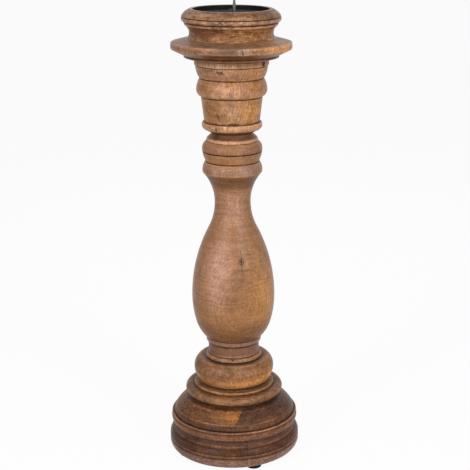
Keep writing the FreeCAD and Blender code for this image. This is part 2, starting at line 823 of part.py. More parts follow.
# the sub-parts that are written out, each to a file of its own
doc.recompute()
pieces = [
    *feet, foot_screws, *plinth_boards, *dome_boards, base_ring, bun, baluster, neck_dowel, capital,
    drip_plate, cup, candle_pan, pan_screws, pricket, tie_washer, tie_screw,
]
for thing in doc.Objects:
    if "Invalid" in thing.State or "Error" in thing.State:
        raise RuntimeError("%s: %s" % (thing.Name, thing.State))
for piece in pieces:
    if piece.Shape.isNull() or not piece.Shape.isValid():
        raise RuntimeError("%s has no valid shape" % piece.Label)
for piece in pieces:
    piece.Shape.exportStep("parts/%s.step" % piece.Label)
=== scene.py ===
import math

import bmesh
import bpy
import numpy as np
from mathutils import Matrix, Vector


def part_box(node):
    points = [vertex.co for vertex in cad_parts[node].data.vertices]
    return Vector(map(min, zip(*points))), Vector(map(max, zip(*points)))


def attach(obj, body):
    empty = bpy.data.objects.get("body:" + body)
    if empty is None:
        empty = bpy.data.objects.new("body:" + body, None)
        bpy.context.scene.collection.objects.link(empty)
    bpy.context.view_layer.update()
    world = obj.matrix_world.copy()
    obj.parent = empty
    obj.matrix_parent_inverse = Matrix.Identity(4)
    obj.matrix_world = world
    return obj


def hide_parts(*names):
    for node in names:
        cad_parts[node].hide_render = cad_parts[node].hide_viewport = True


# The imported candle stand. Sizes in this script are millimetres unless they say otherwise, meshes are
# made in metres, and every piece rides on the one body, because nothing on the stand moves.
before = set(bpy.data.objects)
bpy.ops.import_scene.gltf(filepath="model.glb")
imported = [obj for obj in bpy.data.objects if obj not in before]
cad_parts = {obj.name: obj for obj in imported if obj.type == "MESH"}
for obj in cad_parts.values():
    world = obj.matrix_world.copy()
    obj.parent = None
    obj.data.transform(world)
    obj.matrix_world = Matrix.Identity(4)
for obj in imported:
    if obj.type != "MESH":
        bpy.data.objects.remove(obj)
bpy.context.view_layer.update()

# Plinth: the lower disc of the base. Three boards of hardwood are glued edge to edge and turned on a
# faceplate to an edge, a narrow band between two scratched lines, an ovolo and a cove. It is stained
# dark brown and waxed, and along its foot a painted sheen, pale and greyish, stands for the floor's
# reflection.
MM = 0.001
BODY = "root"
plinth_radius = 89.6
plinth_edge_inset = 8.8
plinth_edge_height = 9.8
plinth_edge_swell = 2.0
plinth_foot_height = 5.6
plinth_band_height = 4.0
plinth_ovolo_height = 9.6
plinth_ovolo_inset = 6.4
plinth_ovolo_swell = 1.1
plinth_cove_height = 8.0
plinth_cove_inset = 1.4
plinth_cove_hollow = 1.5
plinth_seam_shares = (-0.58, 0.2)
plinth_seam_bearing = 0.0
line_width = 1.0
line_depth = 0.8
tie_bore = 4.1
tie_recess_radius = 15.0
tie_recess_depth = 14.0

# How finely an outline is laid out, over how far its points are felt to be hollow, proud or scratched,
# and how round the lathe turns it.
outline_spacing = 0.2
sanded_reach = 0.2
feel_reach = 2.4
feel_full = 0.75
scratch_reach = 0.55
scratch_full = 0.17
feel_names = ("hollow", "proud", "groove")
kept_gap = 4.0
kept_bend = math.radians(7)
cuts_around = 200
true_to = 1e-6
wobble_amount = 0.1
wobble_scale = 9.0

# How far the rings that the tool leaves swerve, and how much of its strength a colour keeps under wax.
tool_swerve = 12.0
waxed_saturation = 0.985


def round_stretch(begin, end, kind, depth=0):
    """Points of an arc. A point is a complex number: its radius, and its height as the 1j part.

    A bulge or a hollow stands a depth off its chord. A belly or a waist is upright at its widest or
    narrowest end, and a crown is level at the axis.
    """
    chord = end - begin
    if kind in ("bulge", "hollow"):
        radius = abs(chord) ** 2 / (8 * depth) + depth / 2
    elif kind == "crown":
        radius = abs(chord) ** 2 / (2 * abs(chord.imag))
    else:
        radius = abs(chord) ** 2 / (2 * abs(chord.real))
    outward = -1j * chord / abs(chord)
    if kind in ("hollow", "waist"):
        outward = -outward
    centre = (begin + end) / 2 - outward * math.sqrt(radius**2 - abs(chord) ** 2 / 4)
    turn = np.angle((end - centre) / (begin - centre))
    count = math.ceil(abs(turn) * radius / outline_spacing)
    shares = [step / count for step in range(1, count + 1)]
    return [centre + (begin - centre) * np.exp(1j * turn * share) for share in shares]


def outline(start, steps):
    """A closed outline, anticlockwise round its material. A step is a radius, a rise and a curve."""
    path = [complex(start[0], -start[1])]
    for wide, rise, *curve in steps:
        end = complex(wide, path[-1].imag + rise)
        path += round_stretch(path[-1], end, *curve) if curve else [end]
    return np.array(path + path[:1])


def scratched_line(radius):
    """Two steps that cut a scratched line into a wall of this radius."""
    return [(radius - line_depth, line_width / 2), (radius, line_width / 2)]


def notch(radius, next_radius):
    """Three steps that cut a square line into the top of a wall, and go out to the next one."""
    return [(radius - line_depth, 0), (radius - line_depth, line_width), (next_radius, 0)]


def climb(steps):
    """The height that a run of steps climbs."""
    return sum(step[1] for step in steps)


def averaged(path, reach):
    """The path with each point moved to the mean of its neighbours, weighted over this reach."""
    span = math.ceil(3 * reach / outline_spacing)
    weights = np.exp(-((np.arange(-span, span + 1) * outline_spacing / reach) ** 2) / 2)
    padded = np.pad(path, span, mode="reflect", reflect_type="odd")
    return np.convolve(padded, weights / weights.sum(), mode="valid")


def sanded(path, reach):
    """The outline with its corners eased, and how hollow, proud or scratched each of its points is."""
    lengths = np.concatenate([[0], np.cumsum(abs(np.diff(path)))])
    places = np.linspace(0, lengths[-1], math.ceil(lengths[-1] / outline_spacing))
    eased = np.interp(places, lengths, path.real) + 1j * np.interp(places, lengths, path.imag)
    eased = averaged(eased, reach)
    along = np.gradient(eased)
    outward = -1j * along / abs(along)

    def stands_out(reach):
        """How far each point stands out of the path's mean over this reach."""
        return ((eased - averaged(eased, reach)) * outward.conj()).real

    proud = stands_out(feel_reach) / feel_full
    feels = {"hollow": -proud, "proud": proud, "groove": -stands_out(scratch_reach) / scratch_full}
    turns = abs(np.angle(along[1:] / along[:-1]))
    kept = [0]
    bend = 0
    for point in range(1, len(eased) - 1):
        bend += turns[point - 1]
        if bend > kept_bend or abs(eased[point] - eased[kept[-1]]) > kept_gap:
            kept.append(point)
            bend = 0
    kept.append(len(eased) - 1)
    return eased[kept], {word: np.clip(felt[kept], 0, 1) for word, felt in feels.items()}


def socket(sockets, word):
    """The socket with this identifier or, if there is none, the shown one with this name."""
    for each in sockets:
        if each.identifier == word:
            return each
    return next(each for each in sockets if each.name == word and each.enabled)


def feed(tree, end, value):
    """Sets an input to a value, or links another node's output socket to it."""
    if isinstance(value, bpy.types.NodeSocket):
        tree.links.new(value, end)
    else:
        end.default_value = value


def add(tree, kind, inputs=None, **settings):
    """A new node. An input is a value, or another node's output socket."""
    made = tree.nodes.new(kind)
    for word, value in settings.items():
        setattr(made, word, value)
    for word, value in (inputs or {}).items():
        end = made.inputs[word] if isinstance(word, int) else socket(made.inputs, word)
        feed(tree, end, value)
    return made


def new_tree(name, kind, inputs, outputs):
    """An empty node tree with its named inputs and outputs, and its two end nodes."""
    tree = bpy.data.node_groups.new(name, kind)
    for way, sockets in (("INPUT", inputs), ("OUTPUT", outputs)):
        for word, sort in sockets.items():
            tree.interface.new_socket(word, in_out=way, socket_type="NodeSocket" + sort)
    return tree, add(tree, "NodeGroupInput").outputs, add(tree, "NodeGroupOutput").inputs


def maths(tree, operation, first, second=0.0, third=0.0, clamp=False):
    """The result of one step of arithmetic."""
    terms = {0: first, 1: second, 2: third}
    return add(tree, "ShaderNodeMath", terms, operation=operation, use_clamp=clamp).outputs[0]


def lathe_tree():
    """Geometry nodes that turn an outline about the upright axis into a closed mesh."""
    tree, given, result = new_tree(
        "turn on the lathe", "GeometryNodeTree",
        {
            "Outline": "Geometry", "Points": "Int", "Cuts": "Int", "Wobble": "Float",
            "Wobble scale": "Float", "True to": "Float", "Material": "Material",
        },
        {"Piece": "Geometry"},
    )
    tree.is_modifier = True
    rows = maths(tree, "ADD", given["Cuts"], 1.0)
    grid = add(tree, "GeometryNodeMeshGrid", {"Vertices X": given["Points"], "Vertices Y": rows})
    index = add(tree, "GeometryNodeInputIndex").outputs[0]
    point = maths(tree, "FLOOR", maths(tree, "DIVIDE", maths(tree, "ADD", index, 0.5), rows))
    cut = maths(tree, "SUBTRACT", index, maths(tree, "MULTIPLY", point, rows))
    turn = maths(tree, "MULTIPLY", maths(tree, "DIVIDE", cut, given["Cuts"]), math.tau)

    def from_outline(data_type, field):
        """What the outline holds at this vertex's point."""
        taken = add(
            tree, "GeometryNodeSampleIndex", {"Geometry": given["Outline"], "Value": field, "Index": point},
            data_type=data_type, domain="POINT",
        )
        return taken.outputs["Value"]

    place = add(tree, "GeometryNodeInputPosition").outputs[0]
    flat = add(tree, "ShaderNodeSeparateXYZ", {0: from_outline("FLOAT_VECTOR", place)}).outputs
    sine = maths(tree, "SINE", turn)
    cosine = maths(tree, "COSINE", turn)
    spot = add(tree, "ShaderNodeCombineXYZ", {0: cosine, 1: sine, 2: flat["Z"]}).outputs[0]
    uneven = add(tree, "ShaderNodeTexNoise", {"Vector": spot, "Scale": given["Wobble scale"]}).outputs[0]
    out_of_true = maths(tree, "MULTIPLY", maths(tree, "MULTIPLY", uneven, -1.0), given["Wobble"])
    inner = maths(tree, "GREATER_THAN", flat["X"], given["Wobble"])
    radius = maths(tree, "MULTIPLY_ADD", out_of_true, inner, flat["X"])
    spun = add(
        tree, "ShaderNodeCombineXYZ",
        {0: maths(tree, "MULTIPLY", cosine, radius), 1: maths(tree, "MULTIPLY", sine, radius), 2: flat["Z"]},
    ).outputs[0]
    feels = []
    for word in feel_names:
        held = add(tree, "GeometryNodeInputNamedAttribute", {"Name": word}, data_type="FLOAT").outputs[0]
        feels.append((word, from_outline("FLOAT", held)))
    shape = grid.outputs["Mesh"]
    shape = add(tree, "GeometryNodeSetPosition", {"Geometry": shape, "Position": spun}).outputs[0]
    for word, felt in feels:
        store = {"Geometry": shape, "Name": word, "Value": felt}
        shape = add(
            tree, "GeometryNodeStoreNamedAttribute", store, data_type="FLOAT", domain="POINT",
        ).outputs[0]
    merged = {"Geometry": shape, "Distance": given["True to"]}
    shape = add(tree, "GeometryNodeMergeByDistance", merged).outputs[0]
    edge_faces = add(tree, "GeometryNodeInputMeshEdgeNeighbors").outputs["Face Count"]
    point_faces = add(tree, "GeometryNodeInputMeshVertexNeighbors").outputs["Face Count"]
    for part, faces in (("EDGE", edge_faces), ("POINT", point_faces)):
        loose = {"Geometry": shape, "Selection": maths(tree, "LESS_THAN", faces, 1.0)}
        shape = add(tree, "GeometryNodeDeleteGeometry", loose, domain=part).outputs[0]
    shape = add(tree, "GeometryNodeFlipFaces", {0: shape}).outputs[0]
    shape = add(tree, "GeometryNodeSetShadeSmooth", {"Geometry": shape}).outputs[0]
    shape = add(tree, "GeometryNodeRealizeInstances", {0: shape}).outputs[0]
    finished = {"Geometry": shape, "Material": given["Material"]}
    shape = add(tree, "GeometryNodeSetMaterial", finished).outputs[0]
    tree.links.new(shape, result["Piece"])
    return tree


def in_scene(name, data):
    """A new object in the scene, which holds a mesh, a lamp or a camera."""
    thing = bpy.data.objects.new(name, data)
    bpy.context.scene.collection.objects.link(thing)
    return thing


def made_plain(thing, tree, sizes):
    """Runs a geometry tree on an object and keeps the result as its plain mesh."""
    modifier = thing.modifiers.new(tree.name, "NODES")
    modifier.node_group = tree
    for item in tree.interface.items_tree:
        if item.name in sizes:
            modifier[item.identifier] = sizes[item.name]
    seen = bpy.context.evaluated_depsgraph_get()
    plain = bpy.data.meshes.new_from_object(
        thing.evaluated_get(seen), preserve_all_data_layers=True, depsgraph=seen,
    )
    thing.modifiers.remove(modifier)
    for slot in reversed(range(len(plain.materials))):
        if plain.materials[slot] is None:
            plain.materials.pop(index=slot)
    thing.data = plain
    plain.name = thing.name
    return thing


def turned(name, seat, start, steps, material, reach=sanded_reach, cuts=cuts_around, wobble=wobble_amount):
    """A piece turned from one closed outline whose origin is on the axis, at the height called seat."""
    points, feels = sanded(outline(start, steps), reach)
    line = bpy.data.meshes.new(name + "_outline")
    line.from_pydata(
        [(point.real * MM, 0, (seat + point.imag) * MM) for point in points],
        [(point, point + 1) for point in range(len(points) - 1)], [],
    )
    for word, felt in feels.items():
        line.attributes.new(word, "FLOAT", "POINT").data.foreach_set("value", felt)
    sizes = {
        "Points": len(points), "Cuts": cuts, "Wobble": wobble * MM, "Wobble scale": wobble_scale,
        "True to": true_to, "Material": material,
    }
    return made_plain(in_scene(name, line), lathe, sizes)


def settle(piece, slot, *nodes):
    """Lets a finished piece ride on the stand and hides the CAD nodes it stands for. The slot is
    not used.
    """
    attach(piece, BODY)
    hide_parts(*nodes)


def sawn(disc, name, across, low, high, material):
    """One board of a turned disc: what lies between two glue lines, closed with flat glued faces."""
    shape = bmesh.new()
    shape.from_mesh(disc.data)
    for place, side in ((low, -1), (high, 1)):
        if place is None:
            continue
        every = shape.verts[:] + shape.edges[:] + shape.faces[:]
        bmesh.ops.bisect_plane(
            shape, geom=every, plane_co=across * place * MM, plane_no=across * side, clear_outer=True,
        )
        rim = [edge for edge in shape.edges if edge.is_boundary]
        for edge in rim:
            edge.smooth = False
        closed = bmesh.ops.triangle_fill(shape, edges=rim, use_beauty=True, normal=across * side)
        for part in closed["geom"]:
            if isinstance(part, bmesh.types.BMFace):
                part.smooth = False
    bmesh.ops.recalc_face_normals(shape, faces=shape.faces[:])
    board = bpy.data.meshes.new(name)
    shape.to_mesh(board)
    shape.free()
    board.materials.clear()
    board.materials.append(material)
    return in_scene(name, board)


def vector_maths(tree, operation, terms, result="Vector"):
    """The result of one step of arithmetic on vectors."""
    return add(tree, "ShaderNodeVectorMath", terms, operation=operation).outputs[result]


def noise(tree, place, stretch, detail, roughness=0.5):
    """Noise of 0 to 1. The stretch is how many features it has in a metre along X, Y and Z."""
    scaled = vector_maths(tree, "MULTIPLY", {0: place, 1: stretch})
    made = {"Vector": scaled, "Scale": 1.0, "Detail": detail, "Roughness": roughness}
    return add(tree, "ShaderNodeTexNoise", made).outputs


def between(tree, value, low, high, easing="SMOOTHSTEP"):
    """How far a value has come from low to high, eased at both ends unless the easing is LINEAR."""
    made = {"Value": value, "From Min": low, "From Max": high}
    return add(tree, "ShaderNodeMapRange", made, interpolation_type=easing).outputs[0]


def blended(tree, share, first, second, blend="MIX"):
    """Two colours mixed by a share, or the second laid over the first by another blend."""
    made = {"Factor_Float": share, "A_Color": first, "B_Color": second}
    mixed = add(tree, "ShaderNodeMix", made, data_type="RGBA", blend_type=blend)
    return socket(mixed.outputs, "Result_Color")


def dimmed(tree, colour, value, saturation=1.0):
    """The colour with its brightness multiplied by a value, and its strength by a saturation."""
    made = {"Color": colour, "Value": value, "Saturation": saturation}
    return add(tree, "ShaderNodeHueSaturation", made).outputs[0]


def grain_tree():
    """Shader nodes for sawn hardwood. Place has the grain along Z and the heart of the log at 0, 0."""
    tree, given, result = new_tree(
        "hardwood grain", "ShaderNodeTree",
        {
            "Place": "Vector", "Swirl": "Float", "Light": "Color", "Dark": "Color", "Gold": "Color",
            "Ring width": "Float", "Ring strength": "Float", "Wander": "Float", "Pores": "Float",
            "Flecks": "Float", "Streaks": "Float", "Fibre": "Float", "Patches": "Float", "Mottle": "Float",
        },
        {"Colour": "Color", "Height": "Float"},
    )
    place = given["Place"]
    # No log is quite straight: a place drifts a little before its ring is counted.
    drift = noise(tree, place, (13, 13, 5), 4.0, 0.6)["Color"]
    drift = vector_maths(tree, "SUBTRACT", {0: drift, 1: (0.5, 0.5, 0.5)})
    drift = vector_maths(tree, "SCALE", {0: drift, "Scale": given["Wander"]})
    bent = vector_maths(tree, "ADD", {0: place, 1: drift})
    level = vector_maths(tree, "MULTIPLY", {0: bent, 1: (1, 1, 0)})
    reach = vector_maths(tree, "LENGTH", {0: level}, "Value")
    count = maths(tree, "DIVIDE", maths(tree, "ADD", reach, given["Swirl"]), given["Ring width"])
    # A ring darkens slowly and ends sharply, and it is darker in some years than in others.
    year = maths(tree, "FRACT", count)
    good_year = add(
        tree, "ShaderNodeTexNoise", {"W": count, "Scale": 0.45, "Detail": 2.0}, noise_dimensions="1D",
    ).outputs[0]
    late = maths(tree, "MULTIPLY", maths(tree, "POWER", year, 2.4), between(tree, year, 1.0, 0.88))
    late = maths(tree, "MULTIPLY", late, between(tree, good_year, 0.1, 0.75))
    rings = maths(tree, "MULTIPLY", late, given["Ring strength"], clamp=True)
    # Streaks, fibres and pores are long in the grain, and mottle, specks, flecks and patches rounder.
    streak = between(tree, noise(tree, bent, (200, 200, 14), 5.0, 0.65)[0], 0.38, 0.7)
    fibre = between(tree, noise(tree, place, (460, 460, 150), 3.0, 0.7)[0], 0.34, 0.66)
    fibre = maths(tree, "SUBTRACT", fibre, 0.5)
    mottle = between(tree, noise(tree, place, (110, 110, 60), 4.0, 0.65)[0], 0.34, 0.66)
    mottle = maths(tree, "SUBTRACT", mottle, 0.5)
    pore = between(tree, noise(tree, place, (820, 820, 70), 2.0, 0.6)[0], 0.59, 0.69)
    speck = between(tree, noise(tree, place, (520, 520, 330), 2.0, 0.65)[0], 0.64, 0.72)
    pore = maths(tree, "MULTIPLY", maths(tree, "MAXIMUM", pore, speck), given["Pores"])
    fleck = between(tree, noise(tree, bent, (230, 230, 150), 3.0, 0.75)[0], 0.56, 0.64)
    fleck = maths(tree, "MULTIPLY", fleck, given["Flecks"])
    patch = between(tree, noise(tree, place, (17, 17, 8), 3.0, 0.6)[0], 0.38, 0.66)
    # The colour: gold patches, dark rings and streaks, fibre and mottle, and pale flecks and dark pores.
    patched = maths(tree, "MULTIPLY", patch, given["Patches"])
    colour = blended(tree, patched, given["Light"], given["Gold"])
    shade = maths(tree, "MULTIPLY_ADD", streak, given["Streaks"], rings, clamp=True)
    colour = blended(tree, shade, colour, given["Dark"])
    value = maths(tree, "MULTIPLY_ADD", fibre, given["Fibre"], 1.0)
    value = maths(tree, "MULTIPLY_ADD", mottle, given["Mottle"], value)
    colour = dimmed(tree, colour, value)
    colour = blended(tree, fleck, colour, dimmed(tree, given["Light"], 1.5, 0.85))
    colour = blended(tree, maths(tree, "MULTIPLY", pore, 0.8), colour, dimmed(tree, given["Dark"], 0.4))
    # Pores are pits, and fibres and late wood stand a little proud.
    height = maths(tree, "MULTIPLY_ADD", pore, -0.10, maths(tree, "MULTIPLY", fibre, 0.05))
    height = maths(tree, "MULTIPLY_ADD", late, 0.02, height)
    tree.links.new(colour, result["Colour"])
    tree.links.new(height, result["Height"])
    return tree


def finish_tree():
    """Shader nodes for stain, shade and wax: black scratched lines and dark hollows, which are stain and
    painted shade, rubbed edges and tool rings.
    """
    tree, given, result = new_tree(
        "stain, shade and wax", "ShaderNodeTree",
        {
            "Colour": "Color", "Height": "Float", "Place": "Vector", "Hollow": "Float", "Proud": "Float",
            "Groove": "Float", "Stain": "Color", "Stain and shade depth": "Float", "Rubbed": "Float",
            "Tool rings": "Float", "Blotches": "Float", "Wax": "Float",
        },
        {"Colour": "Color", "Roughness": "Float", "Height": "Float"},
    )
    place = given["Place"]
    # Stain soaks into hollows and scratched lines, with painted shade laid in them too, and what stands
    # proud is rubbed pale.
    uneven = maths(tree, "SUBTRACT", noise(tree, place, (75, 75, 75), 4.0, 0.65)[0], 0.5)
    soaked_and_shaded = between(tree, maths(tree, "MULTIPLY_ADD", uneven, 0.8, given["Hollow"]), 0.1, 0.9)
    soaked_and_shaded = maths(tree, "MULTIPLY", soaked_and_shaded, given["Stain and shade depth"], clamp=True)
    lined_and_shaded = between(tree, maths(tree, "MULTIPLY_ADD", uneven, 0.6, given["Groove"]), 0.2, 0.7)
    rub = between(tree, maths(tree, "MULTIPLY_ADD", uneven, 0.9, given["Proud"]), 0.15, 0.75)
    rub = maths(tree, "MULTIPLY", rub, given["Rubbed"], clamp=True)
    blotch = between(tree, noise(tree, place, (34, 34, 26), 5.0, 0.65)[0], 0.52, 0.72)
    blotch = maths(tree, "MULTIPLY", blotch, given["Blotches"])
    # The tool leaves fine rings that swerve a little from level.
    swerve = noise(tree, place, (26, 26, 14), 2.0)["Color"]
    swerved = vector_maths(tree, "MULTIPLY_ADD", {0: swerve, 1: (0, 0, tool_swerve * MM), 2: place})
    tool = between(tree, noise(tree, swerved, (28, 28, 380), 3.0, 0.65)[0], 0.36, 0.64)
    tool = maths(tree, "SUBTRACT", tool, 0.5)
    ringed = maths(tree, "MULTIPLY_ADD", tool, given["Tool rings"], 1.0)
    colour = dimmed(tree, given["Colour"], ringed, waxed_saturation)
    colour = blended(tree, rub, colour, dimmed(tree, given["Colour"], 1.6, 0.88))
    colour = blended(tree, blotch, colour, given["Stain"])
    colour = blended(tree, soaked_and_shaded, colour, given["Stain"])
    black = dimmed(tree, given["Stain"], 0.4)
    colour = blended(tree, maths(tree, "MULTIPLY", lined_and_shaded, 0.85), colour, black)
    # The wax is smeared, and duller over thick stain. The tool's rings and slow waves stay in relief.
    smear = noise(tree, place, (120, 120, 40), 4.0, 0.6)[0]
    rough = maths(tree, "MULTIPLY_ADD", smear, 0.16, given["Wax"])
    rough = maths(tree, "MULTIPLY_ADD", maths(tree, "MAXIMUM", soaked_and_shaded, lined_and_shaded), 0.25, rough)
    height = maths(tree, "MULTIPLY_ADD", tool, 0.07, given["Height"])
    height = maths(tree, "MULTIPLY_ADD", noise(tree, place, (90, 90, 90), 3.0)[0], 0.35, height)
    tree.links.new(colour, result["Colour"])
    tree.links.new(rough, result["Roughness"])
    tree.links.new(height, result["Height"])
    return tree


def glue_line_tree():
    """Shader nodes for a thin dark line where two boards meet."""
    tree, given, result = new_tree(
        "glue line", "ShaderNodeTree",
        {"Place": "Vector", "Across": "Vector", "Seam": "Float", "Width": "Float"},
        {"Line": "Float"},
    )
    off = vector_maths(tree, "DOT_PRODUCT", {0: given["Place"], 1: given["Across"]}, "Value")
    off = maths(tree, "ABSOLUTE", maths(tree, "SUBTRACT", off, given["Seam"]))
    made = {"Value": off, "From Min": 0.0, "From Max": given["Width"], "To Min": 1.0, "To Max": 0.0}
    tree.links.new(add(tree, "ShaderNodeMapRange", made).outputs[0], result["Line"])
    return tree


def mark_tree():
    """Shader nodes for one thing in the wood, as a ragged spot, a ring, a soft dome or streaks."""
    tree, given, result = new_tree(
        "mark in the wood", "ShaderNodeTree",
        {"Place": "Vector", "At": "Vector", "Turn": "Vector", "Size": "Vector", "Ragged": "Float"},
        {"Spot": "Float", "Ring": "Float", "Soft": "Float", "Streaked": "Float"},
    )
    local = add(
        tree, "ShaderNodeMapping",
        {
            "Vector": given["Place"], "Location": given["At"], "Rotation": given["Turn"],
            "Scale": given["Size"],
        },
        vector_type="TEXTURE",
    ).outputs[0]
    far = vector_maths(tree, "LENGTH", {0: local}, "Value")
    rough = maths(tree, "SUBTRACT", noise(tree, given["Place"], (420, 420, 300), 3.0, 0.7)[0], 0.5)
    ragged = maths(tree, "MULTIPLY_ADD", rough, given["Ragged"], far)
    spot = between(tree, ragged, 1.0, 0.65)
    hole = between(tree, ragged, 0.72, 0.5)
    heart = between(tree, ragged, 0.4, 0.2)
    ring = maths(tree, "ADD", maths(tree, "SUBTRACT", spot, hole), heart, clamp=True)
    tree.links.new(spot, result["Spot"])
    tree.links.new(ring, result["Ring"])
    tree.links.new(between(tree, far, 1.0, 0.0), result["Soft"])
    streak = between(tree, noise(tree, given["Place"], (820, 820, 45), 2.0)[0], 0.48, 0.58)
    tree.links.new(maths(tree, "MULTIPLY", streak, between(tree, far, 1.0, 0.6)), result["Streaked"])
    return tree


lathe = lathe_tree()
grain = grain_tree()
stain_shade_and_wax = finish_tree()
glue_line = glue_line_tree()
mark_in_wood = mark_tree()
wood_relief = 1.0 * MM
full_alpha = 1.0
# A tint multiplies the wood's colour, and paint covers it.
tint = "MULTIPLY"
paint = "MIX"
spot_colour = (0.018, 0.009, 0.006)


def blank_material(name):
    """A new material, and its tree with no node in it yet."""
    material = bpy.data.materials.new(name)
    material.use_nodes = True
    material.node_tree.nodes.clear()
    return material, material.node_tree


def surfaced(tree, colour, rough, height, relief, plain):
    """Ends a material: its shader has a colour, a roughness, a relief, and other inputs by name."""
    raised = {"Height": height, "Distance": relief, "Strength": 1.0}
    bump = add(tree, "ShaderNodeBump", raised).outputs[0]
    surface = {"Base Color": colour, "Roughness": rough, "Normal": bump, **plain}
    shader = add(tree, "ShaderNodeBsdfPrincipled", surface).outputs[0]
    add(tree, "ShaderNodeOutputMaterial", {"Surface": shader})


def filled(tree, group, values):
    """A group node, with those of its inputs set that the values name."""
    made = add(tree, "ShaderNodeGroup", node_tree=group)
    for word, value in values.items():
        if word in made.inputs:
            feed(tree, made.inputs[word], value)
    return made.outputs


def mark(azimuth, radius, height, size, kind="Spot", strength=1.0, colour=spot_colour, ragged=0.7):
    """A mark in the wood. The azimuth is in degrees from the front, to the right.

    The size is how far it reaches from its middle across, inwards and up. A soft mark is a tint that
    the wood's colour is multiplied by, and any other mark is painted over it.
    """
    turn = math.radians(azimuth)
    at = (radius * math.sin(turn) * MM, -radius * math.cos(turn) * MM, height * MM)

    def lay(tree, place):
        """The mark's mask."""
        values = {
            "Place": place, "At": at, "Turn": (0, 0, turn), "Size": [each * MM for each in size],
            "Ragged": ragged,
        }
        return maths(tree, "MULTIPLY", filled(tree, mark_in_wood, values)[kind], strength)

    return lay, colour, paint if kind != "Soft" else tint


def zone(low, high, colour, strength, soft=1.5, blend=tint):
    """A band all round the piece, between two heights over the floor, that is tinted or painted."""
    def lay(tree, place):
        """The band's mask."""
        height = add(tree, "ShaderNodeSeparateXYZ", {0: place}).outputs["Z"]
        above = between(tree, height, (low - soft) * MM, (low + soft) * MM)
        below = between(tree, height, (high + soft) * MM, (high - soft) * MM)
        return maths(tree, "MULTIPLY", maths(tree, "MULTIPLY", above, below), strength)

    return lay, colour, blend


def stained_and_shaded_lines(seat, side, strength=0.85):
    """Dark stain, deepened with painted shade, in each scratched line and notch of a side that starts
    at the height called seat.
    """
    half = line_width / 2
    middles = []
    for at, step in enumerate(side):
        if step[1] == line_width:
            middles.append(seat + climb(side[:at]) + half)
        elif step[1] == half and side[at + 1][1] == half:
            middles.append(seat + climb(side[:at]) + half)
    return [
        zone(middle - dark_line_reach, middle + dark_line_reach, line_stain_and_shade, strength, dark_line_reach / 2, paint)
        for middle in middles
    ]


def glue_mark(across, seam):
    """A mark for one glue line of a disc."""
    def lay(tree, place):
        """The line's mask."""
        values = {"Place": place, "Across": across, "Seam": seam * MM, "Width": glue_width * MM}
        return filled(tree, glue_line, values)["Line"]

    return lay, glue_colour, paint


def turned_wood(name, heart, lean, light, dark, gold, stain, marks=(), swirl=None, **amounts):
    """The material of one turned piece: the log it came from, its colours and how it was finished.

    The heart is a point of the log's middle, and lean turns the log from upright. The marks lie over
    the wood. A swirl is a mark that its rings bend round, with how far they rise. An amount is an
    input of the grain or of the stain, shade and wax, named as there, or Shine, which is the shader's own.
    """
    values = {
        "Ring width": 3.0 * MM, "Ring strength": 0.75, "Wander": 12.0 * MM, "Pores": 0.75, "Flecks": 0.4,
        "Streaks": 0.25, "Fibre": 0.42, "Patches": 0.8, "Mottle": 0.25, "Stain and shade depth": 0.5, "Rubbed": 0.8,
        "Tool rings": 0.28, "Blotches": 0.3, "Wax": 0.26, "Shine": 0.12,
        "Light": (*light, full_alpha), "Dark": (*dark, full_alpha), "Gold": (*gold, full_alpha),
        "Stain": (*stain, full_alpha),
    }
    values.update(amounts)
    material, tree = blank_material(name)
    place = add(tree, "ShaderNodeTexCoord").outputs["Object"]
    log = add(
        tree, "ShaderNodeMapping",
        {"Vector": place, "Location": [each * MM for each in heart], "Rotation": lean},
        vector_type="TEXTURE",
    ).outputs[0]
    if swirl:
        (lay, *_), rise = swirl
        values["Swirl"] = maths(tree, "MULTIPLY", lay(tree, place), rise * MM)
    figured = filled(tree, grain, {**values, "Place": log})
    feels = {
        word.capitalize(): add(tree, "ShaderNodeAttribute", attribute_name=word).outputs["Fac"]
        for word in feel_names
    }
    finished = filled(tree, stain_shade_and_wax, {
        **values, **feels, "Place": place, "Colour": figured["Colour"], "Height": figured["Height"],
    })
    colour = finished["Colour"]
    for lay, laid, blend in marks:
        colour = blended(tree, lay(tree, place), colour, (*laid, full_alpha), blend)
    shine = {"Specular IOR Level": values["Shine"]}
    surfaced(tree, colour, finished["Roughness"], finished["Height"], wood_relief, shine)
    return material


BOARDS = ("left", "middle", "right")
disc_finish = {
    "Fibre": 0.6, "Mottle": 0.4, "Pores": 0.85, "Flecks": 0.4, "Tool rings": 0.4, "Stain and shade depth": 0.25,
    "Shine": 0.09,
}
disc_dark_line_strength = 0.4
glue_width = 0.35
# The colour of the scratched lines: stain, deepened with painted shade.
line_stain_and_shade = (0.020, 0.009, 0.006)
dark_line_reach = 0.7
glue_colour = (0.02, 0.009, 0.004)
base_stain = (0.030, 0.013, 0.007)


def glued_disc(name, seat, start, steps, radius, shares, bearing, logs, stains_and_painted_light):
    """A disc of three glued boards, turned in one piece and sawn apart again at its glue lines.

    A share is how far a glue line lies from the axis, as a part of the radius. The bearing is how many
    degrees the lines are turned away from front to back. A log has its heart, lean and colours, and
    may have marks of its own.
    """
    turn = math.radians(bearing)
    across = Vector((math.cos(turn), -math.sin(turn), 0))
    seams = [share * radius for share in shares]
    marks = [glue_mark(across, seam) for seam in seams] + stained_and_shaded_lines(seat, steps[1:], disc_dark_line_strength)
    blank = turned(name + "_blank", seat, start, steps, None)
    limits = [None, *seams, None]
    for side, low, high, log in zip(BOARDS, limits, limits[1:], logs):
        board_name = f"{name}_board_{side}"
        wood = {**disc_finish, **log, "marks": [*log.get("marks", ()), *stains_and_painted_light, *marks]}
        material = turned_wood(board_name + "_wood", stain=base_stain, **wood)
        board = sawn(blank, board_name + "_turned", across, low, high, material)
        settle(board, "base_wood", board_name)
    bpy.data.objects.remove(blank)


